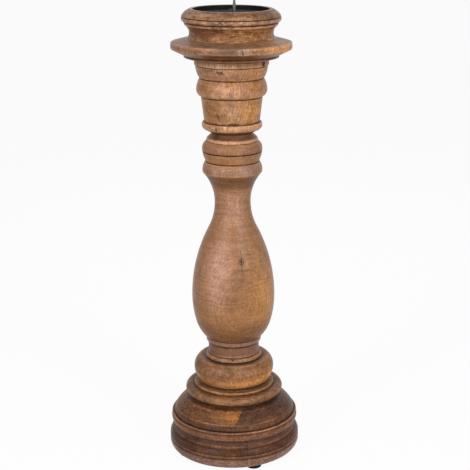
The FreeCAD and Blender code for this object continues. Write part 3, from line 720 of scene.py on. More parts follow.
plinth_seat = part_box("plinth_board_middle")[0].z / MM
plinth_ovolo_top = plinth_radius - plinth_ovolo_inset
plinth_side = [
    (plinth_radius, plinth_edge_height, "bulge", plinth_edge_swell),
    (plinth_radius, plinth_foot_height),
    *scratched_line(plinth_radius),
    (plinth_radius, plinth_band_height),
    *scratched_line(plinth_radius),
    (plinth_ovolo_top, plinth_ovolo_height, "bulge", plinth_ovolo_swell),
    (plinth_ovolo_top - plinth_cove_inset, plinth_cove_height, "hollow", plinth_cove_hollow),
]
plinth_height = climb(plinth_side)
along_y = (math.radians(-90), 0, 0)
plinth_logs = [
    {
        "heart": (-95, 0, -22), "lean": along_y, "light": (0.092, 0.040, 0.021),
        "dark": (0.038, 0.016, 0.008), "gold": (0.125, 0.052, 0.020),
    },
    {
        "heart": (-12, 0, -38), "lean": along_y, "light": (0.110, 0.047, 0.023),
        "dark": (0.044, 0.018, 0.009), "gold": (0.145, 0.060, 0.022),
    },
    {
        "heart": (58, 0, 78), "lean": along_y, "light": (0.120, 0.050, 0.024),
        "dark": (0.048, 0.020, 0.010), "gold": (0.16, 0.064, 0.023),
    },
]
# From the floor up: a painted sheen on the edge, pale and greyish, that stands for the floor's reflection,
# the light band, the dark ovolo with a line in it, the light line along its top, and the cove.
plinth_stains_and_sheen = [
    zone(3, 19.5, (2.6, 3.2, 4.2), 0.9),
    zone(21.8, 24.8, (1.9, 1.9, 1.9), 0.8, 0.6),
    zone(26.5, 33, (0.85, 0.74, 0.66), 0.9),
    zone(32.9, 34.1, line_stain_and_shade, 0.6, 0.4, paint),
    zone(35.2, 36.4, (2.0, 1.9, 1.9), 0.8, 0.5),
    zone(36.5, 42, (1.1, 1.25, 1.65), 0.9),
]
glued_disc(
    "plinth", plinth_seat, (tie_recess_radius, 0),
    [
        (plinth_radius - plinth_edge_inset, 0),
        *plinth_side,
        (tie_bore, 0),
        (tie_bore, tie_recess_depth - plinth_height),
        (tie_recess_radius, 0),
    ],
    plinth_radius, plinth_seam_shares, plinth_seam_bearing, plinth_logs, plinth_stains_and_sheen,
)

# Dome: the upper disc of the base, glued up from three boards that lie askew to the plinth's. It is
# turned to a rolled lip, a thin fillet, a steep edge and a low dome, and glued down on the plinth.
dome_lip_radius = 86.4
dome_lip_inset = 2.9
dome_lip_height = 10.4
dome_lip_swell = 1.9
dome_fillet_height = 2.4
dome_radius = 83.0
dome_edge_height = 7.2
dome_edge_inset = 2.5
dome_edge_swell = 0.7
dome_height = 16.8
dome_swell = 1.6
dome_top_radius = 61.0
dome_seam_shares = (-0.35, 0.46)
dome_seam_bearing = 28.0
bun_socket = 20.1
bun_tenon_depth = 20.0
end_gap = 0.5

dome_seat = plinth_seat + plinth_height
dome_side = [
    (dome_lip_radius, dome_lip_height, "bulge", dome_lip_swell),
    *scratched_line(dome_lip_radius),
    (dome_lip_radius, dome_fillet_height),
    *notch(dome_radius, dome_radius),
    (dome_radius - dome_edge_inset, dome_edge_height, "bulge", dome_edge_swell),
    (dome_top_radius, dome_height, "bulge", dome_swell),
]
askew = (math.radians(-90), 0, math.radians(-dome_seam_bearing))
# The middle board is pale on top, in front, and dark on its edge. The right one is darker on top than
# on its edge.
dome_logs = [
    {
        "heart": (-60, 20, 150), "lean": askew, "light": (0.150, 0.060, 0.025),
        "dark": (0.062, 0.025, 0.012), "gold": (0.19, 0.074, 0.026),
    },
    {
        "heart": (10, -10, -20), "lean": askew, "light": (0.165, 0.066, 0.027),
        "dark": (0.068, 0.027, 0.012), "gold": (0.20, 0.078, 0.027),
        "marks": [
            mark(2, 72, 74, (50, 30, 12), "Soft", 1.0, (2.05, 2.0, 1.4)),
            zone(44, 56, (0.9, 0.9, 0.92), 1.0),
            zone(56, 65.6, (0.66, 0.7, 0.8), 1.0, 0.6),
        ],
    },
    {
        "heart": (60, -60, 180), "lean": askew, "light": (0.090, 0.038, 0.019),
        "dark": (0.036, 0.015, 0.008), "gold": (0.115, 0.047, 0.020),
        "marks": [
            zone(44, 65.6, (1.5, 1.5, 1.4), 1.0, 0.6),
            zone(66, 83, (1.15, 1.2, 1.3), 0.9),
        ],
    },
]
# The lip and a light line round it, the groove over the fillet, the dark edge, a light ring near the
# top, the edge's rubbed corner, the fillet, and painted shade on the dome against the base ring.
dome_stains_and_shade = [
    zone(45, 54, (1.4, 1.4, 1.4), 0.9),
    zone(46.8, 48.2, (1.5, 1.5, 1.6), 0.8, 0.6),
    zone(57.4, 59.2, (1.5, 1.4, 1.3), 0.8, 0.3),
    zone(59.5, 65, (0.85, 0.83, 0.81), 0.9, 0.7),
    zone(78.7, 79.7, (1.6, 1.5, 1.5), 0.7, 0.4),
    zone(65.4, 66.6, (1.9, 1.8, 1.6), 0.9, 0.6),
    zone(55.6, 57.8, (1.9, 1.9, 1.8), 0.9, 0.5),
    zone(80.6, 84, (0.45, 0.42, 0.4), 0.9, 0.8),
]
glued_disc(
    "dome", dome_seat, (tie_bore, 0),
    [
        (dome_lip_radius - dome_lip_inset, 0),
        *dome_side,
        (bun_socket, 0),
        (bun_socket, -bun_tenon_depth - end_gap),
        (tie_bore, 0),
    ],
    dome_lip_radius, dome_seam_shares, dome_seam_bearing, dome_logs, dome_stains_and_shade,
)

# Base ring: a hardwood ring with a torus and a small sloping fillet, threaded on the bun's tenon and
# glued between dome and bun. Same dark stain as the discs below it.
ring_foot_radius = 59.8
ring_foot_height = 3.2
ring_foot_flare = 1.4
ring_torus_height = 12.2
ring_torus_swell = 5.4
ring_fillet_radius = 55.8
ring_fillet_slope = 2.4
ring_fillet_height = 3.0

ring_seat = dome_seat + climb(dome_side)
ring_side = [
    (ring_foot_radius + ring_foot_flare, ring_foot_height),
    (ring_foot_radius + ring_foot_flare, ring_torus_height, "bulge", ring_torus_swell),
    (ring_fillet_radius, 0),
    (ring_fillet_radius - ring_fillet_slope, ring_fillet_height),
]
# Painted shade at its foot, against the dome, and a rubbed fillet.
ring_stains_and_shade = [
    zone(80, 86, (0.45, 0.42, 0.4), 0.9, 1.0),
    zone(99, 101, (1.5, 1.5, 1.5), 0.8, 0.8),
]
ring_wood = turned_wood(
    "base_ring_wood", heart=(40, 120, 60), lean=(0, math.radians(90), math.radians(8)),
    light=(0.19, 0.080, 0.026), dark=(0.070, 0.029, 0.012), gold=(0.25, 0.102, 0.028), stain=base_stain,
    marks=ring_stains_and_shade, Blotches=0.55, Mottle=0.4, Fibre=0.5, Shine=0.11,
)
base_ring = turned(
    "base_ring_turned", ring_seat, (bun_socket, 0), [(ring_foot_radius, 0), *ring_side, (bun_socket, 0)],
    ring_wood,
)
settle(base_ring, "base_wood", "base_ring")

# Bun: the column's foot, turned with a tenon that goes down through the ring into the dome. Its
# socket takes the baluster's tenon, and the coach screw passes through its middle.
bun_radius = 54.6
bun_foot_inset = 7.4
bun_foot_flare = 0.8
bun_foot_height = 2.8
bun_lower_height = 19.2
bun_upper_height = 14.4
bun_shoulder_inset = 7.4
bun_crown_height = 0.6
bun_fillet_radius = 38.8
bun_fillet_slope = 2.1
bun_fillet_height = 4.3
bun_tenon_radius = 20.0
shaft_socket = 17.1
baluster_tenon_length = 25.0

bun_seat = ring_seat + climb(ring_side)
bun_foot = bun_radius - bun_foot_inset
bun_side = [
    (bun_foot, bun_foot_height),
    (bun_radius, bun_lower_height, "belly"),
    (bun_radius - bun_shoulder_inset, bun_upper_height, "belly"),
    (bun_fillet_radius - line_depth, bun_crown_height),
    (bun_fillet_radius - line_depth, line_width),
    (bun_fillet_radius, 0),
    (bun_fillet_radius - bun_fillet_slope, bun_fillet_height),
]
bun_tenon = climb(ring_side) + bun_tenon_depth
# A pale band round the lower half, paler patches in front, above them and on the right, a dark spot
# on the fillet, the groove under it darker, and painted shade at the foot, where it meets the ring.
bun_stains_and_shade = [
    zone(105, 118, (2.0, 2.05, 1.9), 0.8, 5),
    mark(8, 53, 112, (60, 30, 13), "Soft", 0.8, (1.7, 1.65, 1.3)),
    mark(0, 50, 128, (50, 40, 12), "Soft", 0.9, (1.35, 1.4, 1.5)),
    mark(56, 53, 120, (44, 40, 20), "Soft", 1.0, (1.7, 1.6, 1.1)),
    mark(-2, 38, 142.5, (1.6, 3, 1.2)),
    zone(138.2, 139.4, (0.4, 0.4, 0.4), 0.7, 0.4),
    zone(99, 105.5, (0.35, 0.33, 0.3), 1.0, 1.5),
]
bun_wood = turned_wood(
    "bun_wood", heart=(25, 75, 0), lean=(math.radians(4), math.radians(-3), 0),
    light=(0.22, 0.098, 0.042), dark=(0.090, 0.037, 0.017), gold=(0.28, 0.118, 0.040), stain=base_stain,
    marks=[*stained_and_shaded_lines(bun_seat, bun_side), *bun_stains_and_shade], Blotches=0.5,
)
bun = turned(
    "bun_turned", bun_seat, (tie_bore, bun_tenon),
    [
        (bun_tenon_radius, 0),
        (bun_tenon_radius, bun_tenon),
        (bun_foot + bun_foot_flare, 0),
        *bun_side,
        (shaft_socket, 0),
        (shaft_socket, -baluster_tenon_length - end_gap),
        (tie_bore, 0),
    ],
    bun_wood,
)
settle(bun, "base_wood", "bun")

# Baluster: the long middle length of the column, turned between centres from one billet of warm
# brown hardwood: lower neck, bead, vase, slender neck, collar, bulb and shoulder. Waxed to a satin.
shaft_radius = 34.8
shaft_taper = 0.4
shaft_height = 16.8
bead_radius = 38.2
bead_slope = 1.2
bead_height = 6.2
vase_foot_radius = 38.8
vase_radius = 56.0
vase_turn_share = 0.66
vase_turn_height = 18.7
vase_turn_swell = 1.2
vase_lower_height = 38.5
vase_upper_height = 130.5
vase_change_share = 0.73
neck_radius = 24.0
neck_height = 41.4
collar_radius = 39.6
collar_slope = 3.2
collar_height = 13.6
collar_swell = 1.3
collar_groove_radius = 35.4
collar_groove_height = 1.8
bulb_radius = 39.6
bulb_foot_inset = 3.8
bulb_lower_height = 12.2
bulb_lower_swell = 0.6
bulb_upper_height = 12.6
bulb_upper_swell = 2.1
bulb_top_inset = 4.9
shoulder_fillet_height = 3.4
shoulder_fillet_slope = 1.4
shoulder_height = 6.8
joint_radius = 26.4
baluster_tenon_radius = 17.0
dowel_socket = 10.1
dowel_depth = 30.5

baluster_seat = bun_seat + climb(bun_side)
tie_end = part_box("tie_screw")[1].z / MM
bulb_top = bulb_radius - bulb_top_inset
vase_change_radius = vase_radius - vase_change_share * (vase_radius - neck_radius)
vase_turn_radius = vase_foot_radius + vase_turn_share * (vase_radius - vase_foot_radius)
baluster_side = [
    (shaft_radius - line_depth, line_width),
    (shaft_radius, 0),
    (shaft_radius - shaft_taper, shaft_height),
    (bead_radius - bead_slope, 0),
    (bead_radius, bead_height),
    *notch(bead_radius, vase_foot_radius),
    (vase_turn_radius, vase_turn_height, "bulge", vase_turn_swell),
    (vase_radius, vase_lower_height, "belly"),
    (vase_change_radius, vase_change_share * vase_upper_height, "belly"),
    (neck_radius, (1 - vase_change_share) * vase_upper_height, "waist"),
    (collar_radius, neck_height, "waist"),
    (collar_radius - collar_slope, collar_height, "bulge", collar_swell),
    (collar_groove_radius, 0),
    (collar_groove_radius, collar_groove_height),
    (bulb_radius - bulb_foot_inset, 0),
    (bulb_radius, bulb_lower_height, "bulge", bulb_lower_swell),
    *scratched_line(bulb_radius),
    (bulb_top, bulb_upper_height, "bulge", bulb_upper_swell),
    *notch(bulb_top, bulb_top),
    (bulb_top - shoulder_fillet_slope, shoulder_fillet_height),
    (joint_radius, shoulder_height),
]
baluster_height = climb(baluster_side)
tie_bore_depth = tie_end + end_gap - baluster_seat
column_stain = (0.040, 0.017, 0.009)
column_light = (0.36, 0.172, 0.078)
column_dark = (0.150, 0.061, 0.024)
column_gold = (0.39, 0.178, 0.062)
# Painted shade: a tint that darkens the wood where it faces down or lies under an overhang.
painted_shade_tint = (0.42, 0.36, 0.30)
# Painted light: a warm, pale tint for the side of the vase that the light falls on.
painted_light_gold = (1.45, 1.45, 1.2)
# The line in the bulb's top isn't darkened with stain and painted shade, nor is anything above it.
undarkened_steps = 5
# Painted shade on the shoulder under the capital's foot ring, and its paler, streaked fillet, light lines
# over and under the bulb and a dark line of stain and painted shade round it, painted shade under the
# collar, on the lower neck under the vase and on the vase's down-facing foot, and the tones between.
baluster_stains_and_shade = [
    zone(443.6, 452, (0.45, 0.42, 0.42), 1.0, 0.6),
    zone(439.8, 443.2, (1.1, 1.12, 1.2), 1.0, 0.5),
    mark(-10, 33, 441.5, (30, 14, 2.6), "Streaked", 0.5, (0.62, 0.42, 0.28)),
    zone(438.6, 439.9, (1.8, 1.6, 1.5), 0.8, 0.3),
    zone(410.9, 413.3, (2.0, 1.8, 1.6), 0.8, 0.3),
    zone(424.9, 426.5, line_stain_and_shade, 0.95, 0.3, paint),
    zone(378, 398, painted_shade_tint, 0.75, 6),
    zone(144, 164, painted_shade_tint, 0.55, 1),
    zone(146, 168, (0.85, 0.9, 1.3), 0.9, 1),
    zone(168, 198, painted_shade_tint, 0.5, 9),
    zone(215, 372, (0.94, 0.96, 1.04), 0.9, 20),
    zone(426, 437, (0.82, 0.8, 0.88), 1.0, 2),
    zone(398.5, 411, (0.93, 1.06, 1.45), 1.0, 2),
]
# A painted highlight on the neck's front and another on the vase's left front, a darker patch on the
# vase's front, and painted light, golden, on the vase's right side.
baluster_tones_and_painted_light = [
    mark(5, 25, 352, (24, 24, 44), "Soft", 1.0, (1.2, 1.3, 1.6)),
    mark(-24, 52, 268, (34, 40, 76), "Soft", 1.0, (1.5, 1.65, 2.2)),
    mark(4, 52, 245, (30, 40, 50), "Soft", 1.0, (0.84, 0.84, 0.88)),
    mark(52, 54, 232, (40, 40, 80), "Soft", 1.0, painted_light_gold),
]
knot_middle = (13.2, 47.1, 285)
vase_knot = [
    mark(*knot_middle, (4.2, 12, 4.8), "Ring", ragged=0.5),
    mark(*knot_middle, (2.0, 12, 2.4)),
    mark(*knot_middle, (9, 14, 13), "Soft", 0.6, (0.6, 0.55, 0.5)),
    mark(13.6, 46, 284, (0.8, 14, 21), "Spot", 0.6, column_stain, 1.2),
]
# A dark spot on the vase's left side, and one on the shoulder.
baluster_spots = [
    mark(-58.5, 51, 267, (1.5, 6, 3.8), "Spot", 0.5, column_stain),
    mark(-43, 30, 447, (5, 8, 6), "Spot", 0.5, (0.05, 0.022, 0.014), 0.9),
]
baluster_wood = turned_wood(
    "baluster_wood", heart=(-24, 92, 0), lean=(math.radians(1.5), math.radians(1.0), 0),
    light=column_light, dark=column_dark, gold=column_gold, stain=column_stain,
    swirl=(mark(13, 55.8, 224, (21, 60, 34), "Soft"), 8.0),
    marks=[
        *stained_and_shaded_lines(baluster_seat, baluster_side[:-undarkened_steps]),
        *baluster_stains_and_shade,
        *baluster_tones_and_painted_light,
        *vase_knot,
        *baluster_spots,
    ],
    Fibre=0.24, Mottle=0.15, Pores=0.5, Flecks=0.15, Streaks=0.12, Blotches=0.18,
    **{"Ring width": 1.7 * MM, "Ring strength": 0.5, "Tool rings": 0.26},
)
baluster = turned(
    "baluster_turned", baluster_seat, (tie_bore, baluster_tenon_length),
    [
        (baluster_tenon_radius, 0),
        (baluster_tenon_radius, baluster_tenon_length),
        (shaft_radius - line_depth, 0),
        *baluster_side,
        (dowel_socket, 0),
        (dowel_socket, -dowel_depth),
        (0, 0),
        (0, tie_bore_depth + dowel_depth - baluster_height),
        (tie_bore, 0),
    ],
    baluster_wood,
)
settle(baluster, "turned_wood", "baluster")

# Neck dowel: a loose birch dowel across the column's thinnest joint, half in the baluster and half in
# the capital. It stays raw, because glue doesn't hold on stain. Its CAD shape is right.


def dress(node, material):
    """Gives a CAD node that is shown as it is a material of its own."""
    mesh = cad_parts[node].data
    mesh.materials.clear()
    mesh.materials.append(material)


dowel_wood = turned_wood(
    "raw_birch", heart=(30, 20, 0), lean=(0, 0, 0), light=(0.62, 0.45, 0.28), dark=(0.44, 0.29, 0.16),
    gold=(0.64, 0.44, 0.24), stain=(0.3, 0.18, 0.09),
)
dress("neck_dowel", dowel_wood)

# Capital: the top of the column, turned with a foot ring, a tapered pot, a torus band, an echinus and
# an upright band, with a tenon up into the drip plate. The same warm brown as the baluster.
capital_ring_under = 4.4
capital_ring_foot_radius = 35.8
capital_ring_flare = 3.0
capital_ring_height = 9.8
capital_ring_swell = 2.4
pot_foot_radius = 36.4
pot_flare = 4.0
pot_height = 33.2
torus_radius = 46.4
torus_inset = 5.4
torus_lower_height = 8.2
torus_upper_height = 14.2
torus_top_inset = 3.8
capital_notch_radius = 41.4
capital_notch_height = 2.4
echinus_foot_radius = 43.0
echinus_flare = 4.3
echinus_height = 15.0
echinus_swell = 0.9
capital_band_radius = 48.6
capital_band_height = 6.8
capital_tenon_radius = 14.0
capital_tenon_length = 10.0

capital_seat = baluster_seat + baluster_height
pot_top = pot_foot_radius + pot_flare
echinus_top = echinus_foot_radius + echinus_flare
capital_side = [
    (capital_ring_foot_radius, capital_ring_under),
    (capital_ring_foot_radius + capital_ring_flare, capital_ring_height, "bulge", capital_ring_swell),
    (pot_foot_radius, 0),
    (pot_top, pot_height),
    *notch(pot_top, torus_radius - torus_inset),
    (torus_radius, torus_lower_height, "belly"),
    (torus_radius - torus_top_inset, torus_upper_height, "belly"),
    (capital_notch_radius, capital_notch_height / 2),
    (echinus_foot_radius, capital_notch_height / 2),
    (echinus_top, echinus_height, "bulge", echinus_swell),
    *notch(echinus_top, capital_band_radius),
    (capital_band_radius, capital_band_height),
]
capital_height = climb(capital_side)
capital_dark_line_strength = 0.7
# A painted highlight: a pale, rosy tint.
rosy_painted_highlight = (1.25, 1.35, 1.7)
# Painted light and shade: the pot and the echinus paler on the right, as light falls there, and the pot
# darker on the left; a paler, bluer patch on the pot's front; painted shade under the foot ring and a
# painted shadow of the drip plate on the band; and a rosy painted highlight in front on the torus.
capital_tones_and_painted_light = [
    mark(48, 40, 482, (30, 30, 24), "Soft", 1.0, (1.35, 1.3, 1.0)),
    mark(-48, 40, 482, (30, 30, 24), "Soft", 1.0, (0.82, 0.78, 0.78)),
    mark(48, 46, 531, (34, 30, 12), "Soft", 1.0, (1.4, 1.35, 1.05)),
    mark(0, 38, 484, (30, 30, 26), "Soft", 1.0, (1.15, 1.3, 1.65)),
    zone(448, 455.5, painted_shade_tint, 1.0, 1.0),
    zone(539.5, 548, painted_shade_tint, 0.45),
    mark(-5, 46, 510, (34, 24, 12), "Soft", 1.0, rosy_painted_highlight),
]
# The knot on the band, dark spots and streaks on foot ring, pot and echinus, light streaks on the
# echinus and the band, and the echinus a little darker.
capital_figure = [
    mark(57.2, 48.6, 542.8, (4.4, 10, 4.2), ragged=0.5),
    mark(-31.3, 39.8, 459.5, (1.1, 6, 5), "Spot", 0.9, column_stain),
    mark(2, 37, 466.5, (9, 8, 2.4), "Spot", 0.7, column_stain, 2.2),
    mark(-26, 38.5, 478, (5, 8, 9), "Streaked", 0.5, column_stain),
    mark(-12, 47, 536, (16, 8, 9), "Streaked", 0.35, (0.60, 0.40, 0.24)),
    mark(-25, 48.6, 542.4, (38, 18, 4.5), "Streaked", 0.62, (0.66, 0.46, 0.31)),
    mark(-18, 45, 533.5, (7, 8, 2.6), "Spot", 0.7, column_stain, 2.2),
    zone(526, 537, (0.87, 0.9, 1.1), 0.8, 3),
]
capital_wood = turned_wood(
    "capital_wood", heart=(30, 60, 0), lean=(math.radians(-5), math.radians(6), 0),
    light=(0.38, 0.182, 0.084), dark=(0.160, 0.064, 0.026), gold=(0.41, 0.186, 0.065), stain=column_stain,
    marks=[
        *stained_and_shaded_lines(capital_seat, capital_side, capital_dark_line_strength),
        *capital_tones_and_painted_light,
        *capital_figure,
    ],
    Fibre=0.32, Mottle=0.24, Pores=0.7, Flecks=0.5, Streaks=0.1, Blotches=0.25,
)
capital = turned(
    "capital_turned", capital_seat, (dowel_socket, 0),
    [
        (joint_radius, 0),
        *capital_side,
        (capital_tenon_radius, 0),
        (capital_tenon_radius, capital_tenon_length),
        (0, 0),
        (0, dowel_depth - capital_height - capital_tenon_length),
        (dowel_socket, 0),
    ],
    capital_wood,
)
settle(capital, "turned_wood", "capital")

# Drip plate: a wide disc turned from one flat board, so its grain runs level. Its underside steps
# down to the capital, its upright edge has soft corners, and its top slopes up to the cup.
plate_seat_radius = 50.0
plate_disc_radius = 61.8
plate_disc_rise = 3.0
plate_step_height = 2.5
plate_under_height = 7.8
plate_radius = 78.4
plate_corner = 0.9
plate_edge_height = 6.9
plate_edge_swell = 0.4
plate_slope_height = 5.0
plate_top_radius = 58.5
capital_socket = 14.1
cup_socket = 18.1
cup_spigot_length = 10.0

plate_seat = capital_seat + capital_height
plate_side = [
    (plate_disc_radius, plate_disc_rise),
    (plate_disc_radius, plate_step_height),
    (plate_radius - plate_corner, plate_under_height),
    (plate_radius, plate_corner, "belly"),
    (plate_radius, plate_edge_height, "bulge", plate_edge_swell),
    (plate_radius - plate_corner, plate_corner, "belly"),
    (plate_top_radius, plate_slope_height),
]
plate_height = climb(plate_side)
plate_sockets = capital_tenon_length + end_gap + cup_spigot_length + end_gap
# The underside has painted shade, darker and warmer, and the top a painted sheen, a little cooler. The
# edge is pale on the right, less so on the left, and dark in front, where light stripes cross it.
plate_stains_and_painted_light = [
    zone(544, 559.5, (0.78, 0.60, 0.42), 0.9),
    zone(567.6, 573, (1.0, 1.1, 1.15), 0.9, 0.5),
    zone(559.5, 567, (1.02, 0.94, 0.86), 0.9, 0.5),
    mark(56, 78, 564, (60, 50, 16), "Soft", 1.0, (2.0, 2.0, 1.6)),
    mark(-62, 78, 564, (44, 40, 16), "Soft", 1.0, (1.2, 1.2, 1.2)),
    mark(-4, 78, 564, (40, 30, 14), "Soft", 1.0, (0.7, 0.75, 0.85)),
    mark(12, 78, 564, (11, 12, 6), "Streaked", 0.42, (0.55, 0.40, 0.28)),
]
plate_wood = turned_wood(
    "drip_plate_wood", heart=(0, 40, 470), lean=(0, math.radians(90), math.radians(-12)),
    light=(0.245, 0.120, 0.062), dark=(0.085, 0.036, 0.018), gold=(0.27, 0.126, 0.054), stain=column_stain,
    marks=plate_stains_and_painted_light, Patches=1.0, Mottle=0.35, Shine=0.11,
)
drip_plate = turned(
    "drip_plate_turned", plate_seat, (capital_socket, 0),
    [
        (plate_seat_radius, 0),
        *plate_side,
        (cup_socket, 0),
        (cup_socket, -cup_spigot_length - end_gap),
        (0, 0),
        (0, plate_sockets - plate_height),
        (capital_socket, 0),
    ],
    plate_wood,
)
settle(drip_plate, "turned_wood", "drip_plate")

# Cup: the wooden ring moulding that holds the pan: a cove, a fillet, a torus, an ovolo and a flat
# rim round the recess. A spigot under it is glued into the drip plate.
cup_foot_radius = 58.0
cup_cove_depth = 3.6
cup_cove_lower_height = 6.5
cup_cove_upper_height = 10.5
cup_fillet_radius = 61.0
cup_fillet_flare = 0.7
cup_fillet_height = 2.8
cup_torus_radius = 64.2
cup_torus_foot_inset = 2.6
cup_torus_height = 6.0
cup_torus_swell = 1.4
cup_ovolo_height = 8.4
cup_ovolo_swell = 1.2
cup_rim_width = 4.6
cup_rim_height = 0.8
cup_spigot_radius = 18.0
cup_recess = 50.0
pan_depth = 5.0
pan_gauge = 1.0

cup_seat = plate_seat + plate_height
cup_rim = cup_recess + cup_rim_width
cup_side = [
    (cup_foot_radius - cup_cove_depth, cup_cove_lower_height, "waist"),
    (cup_fillet_radius - cup_fillet_flare, cup_cove_upper_height, "waist"),
    (cup_fillet_radius, cup_fillet_height),
    *notch(cup_fillet_radius, cup_torus_radius - cup_torus_foot_inset),
    (cup_torus_radius, cup_torus_height, "bulge", cup_torus_swell),
    *scratched_line(cup_torus_radius),
    (cup_rim + line_depth, cup_ovolo_height, "bulge", cup_ovolo_swell),
    (cup_rim, 0),
    (cup_rim, cup_rim_height),
]
cup_height = climb(cup_side)
# The cove is dark on the left and pale on the right. The ovolo is dark on the right, and has pale
# patches in three places.
cup_stains = [
    mark(-40, 56, 583, (50, 40, 12), "Soft", 1.0, (0.7, 0.55, 0.55)),
    mark(30, 56, 583, (40, 40, 12), "Soft", 1.0, (1.2, 1.1, 0.8)),
    mark(50, 60, 604, (44, 34, 14), "Soft", 1.0, (0.65, 0.7, 0.85)),
    mark(-38, 58, 606.5, (22, 14, 3), "Spot", 0.28, (0.50, 0.36, 0.24), 2.6),
    mark(-60, 60, 603, (12, 14, 2.4), "Spot", 0.28, (0.48, 0.35, 0.23), 2.6),
    mark(5, 62, 603, (18, 10, 2.0), "Spot", 0.2, (0.48, 0.34, 0.22), 2.6),
]
cup_wood = turned_wood(
    "cup_wood", heart=(0, -30, 660), lean=(0, math.radians(90), math.radians(20)),
    light=(0.26, 0.122, 0.060), dark=(0.095, 0.039, 0.018), gold=(0.31, 0.138, 0.048), stain=column_stain,
    marks=[*stained_and_shaded_lines(cup_seat, cup_side), *cup_stains], Flecks=1.0, Mottle=0.55, Blotches=0.5, Fibre=0.5,
    **{"Tool rings": 0.6},
)
cup = turned(
    "cup_turned", cup_seat, (0, cup_spigot_length),
    [
        (cup_spigot_radius, 0),
        (cup_spigot_radius, cup_spigot_length),
        (cup_foot_radius, 0),
        *cup_side,
        (cup_recess, 0),
        (cup_recess, -pan_depth - pan_gauge),
        (0, 0),
    ],
    cup_wood,
)
settle(cup, "turned_wood", "cup")

# Candle pan: a dish pressed from 1 mm steel sheet with a low rolled rim, painted satin black and let
# into the cup's recess, flush with its rim.
pan_radius = 49.7
pan_corner = 1.2
black_paint = (0.006, 0.006, 0.007)
dusty_paint = (0.012, 0.010, 0.009)
bare_steel = (0.09, 0.085, 0.08)
paint_shine = 0.04
steel_relief = 0.02 * MM


def dull_black(name, colour, dust, roughness, worn):
    """Black paint or rubber: a pebbled skin, a little dust, and edges rubbed to the steel."""
    material, tree = blank_material(name)
    place = add(tree, "ShaderNodeTexCoord").outputs["Object"]
    peel = noise(tree, place, (900, 900, 900), 2.0)[0]
    cloud = noise(tree, place, (60, 60, 60), 6.0, 0.65)[0]
    dusty = between(tree, cloud, 0.45, 0.75, "LINEAR")
    skin = blended(tree, dusty, (*colour, full_alpha), (*dust, full_alpha))
    felt = add(tree, "ShaderNodeAttribute", attribute_name="proud").outputs["Fac"]
    rub = between(tree, felt, 0.45, 0.9, "LINEAR")
    rub = maths(tree, "MULTIPLY", rub, maths(tree, "MULTIPLY", cloud, worn), clamp=True)
    skin = blended(tree, rub, skin, (*bare_steel, full_alpha))
    rough = maths(tree, "MULTIPLY_ADD", dusty, 0.25, roughness)
    surfaced(
        tree, skin, rough, peel, steel_relief, {"Metallic": rub, "Specular IOR Level": paint_shine},
    )
    return material


pan_seat = cup_seat + cup_height - pan_depth - pan_gauge
pan_paint = dull_black("pan_paint", black_paint, dusty_paint, 0.5, 0.5)
candle_pan = turned(
    "candle_pan_pressed", pan_seat, (0, 0),
    [
        (pan_radius - pan_gauge - pan_corner, 0),
        (pan_radius, pan_corner + pan_gauge, "belly"),
        (pan_radius, pan_depth - pan_corner),
        (pan_radius - pan_gauge, 0),
        (pan_radius - pan_gauge, pan_corner - pan_depth),
        (pan_radius - pan_gauge - pan_corner, -pan_corner, "waist"),
        (0, 0),
    ],
    pan_paint,
)
settle(candle_pan, "black_steel", "candle_pan")

# Pan screws: two small round-head wood screws with a straight slot, blackened like the pan. They go
# down through holes in the pan's floor into the cup, one in front of the spike and one behind it.
pan_screw_distance = 33.0
pan_screw_radius = 1.3
pan_screw_length = 14.0
pan_screw_point = 2.5
pan_screw_head_radius = 2.9
pan_screw_head_rim = 0.4
pan_screw_head_crown = 1.1
slot_width = 0.8
slot_depth = 0.8
screw_cuts = 48
steel_reach = 0.12
sharp_from = math.radians(35)


def bright_steel(name, light, dark, roughness):
    """Turned or plated steel: fine marks round the axis, and a few darker clouds."""
    material, tree = blank_material(name)
    place = add(tree, "ShaderNodeTexCoord").outputs["Object"]
    turning = noise(tree, place, (60, 60, 2600), 3.0)[0]
    cloud = noise(tree, place, (420, 420, 420), 4.0, 0.6)[0]
    share = maths(tree, "MULTIPLY_ADD", turning, 0.4, maths(tree, "MULTIPLY", cloud, 0.6))
    skin = blended(tree, share, (*dark, full_alpha), (*light, full_alpha))
    rough = maths(tree, "MULTIPLY_ADD", cloud, 0.2, roughness)
    surfaced(tree, skin, rough, turning, steel_relief, {"Metallic": 1.0})
    return material


def slot_tree():
    """Geometry nodes that cut a screwdriver's slot across a screw head."""
    tree, given, result = new_tree(
        "cut the slot", "GeometryNodeTree",
        {
            "Screw": "Geometry", "Slot": "Vector", "At": "Vector", "Sharp from": "Float",
            "Material": "Material",
        },
        {"Slotted": "Geometry"},
    )
    tree.is_modifier = True
    blade = add(tree, "GeometryNodeMeshCube", {"Size": given["Slot"]}).outputs["Mesh"]
    blade = add(tree, "GeometryNodeTransform", {"Geometry": blade, "Translation": given["At"]}).outputs[0]
    shape = add(
        tree, "GeometryNodeMeshBoolean", {0: given["Screw"], 1: blade}, operation="DIFFERENCE",
    ).outputs[0]
    bend = add(tree, "GeometryNodeInputMeshEdgeAngle").outputs[0]
    sharp = maths(tree, "GREATER_THAN", bend, given["Sharp from"])
    kept = {"Geometry": shape, "Selection": sharp, "Shade Smooth": False}
    shape = add(tree, "GeometryNodeSetShadeSmooth", kept, domain="EDGE").outputs[0]
    shape = add(tree, "GeometryNodeRealizeInstances", {0: shape}).outputs[0]
    finished = {"Geometry": shape, "Material": given["Material"]}
    shape = add(tree, "GeometryNodeSetMaterial", finished).outputs[0]
    tree.links.new(shape, result["Slotted"])
    return tree


cut_slot = slot_tree()


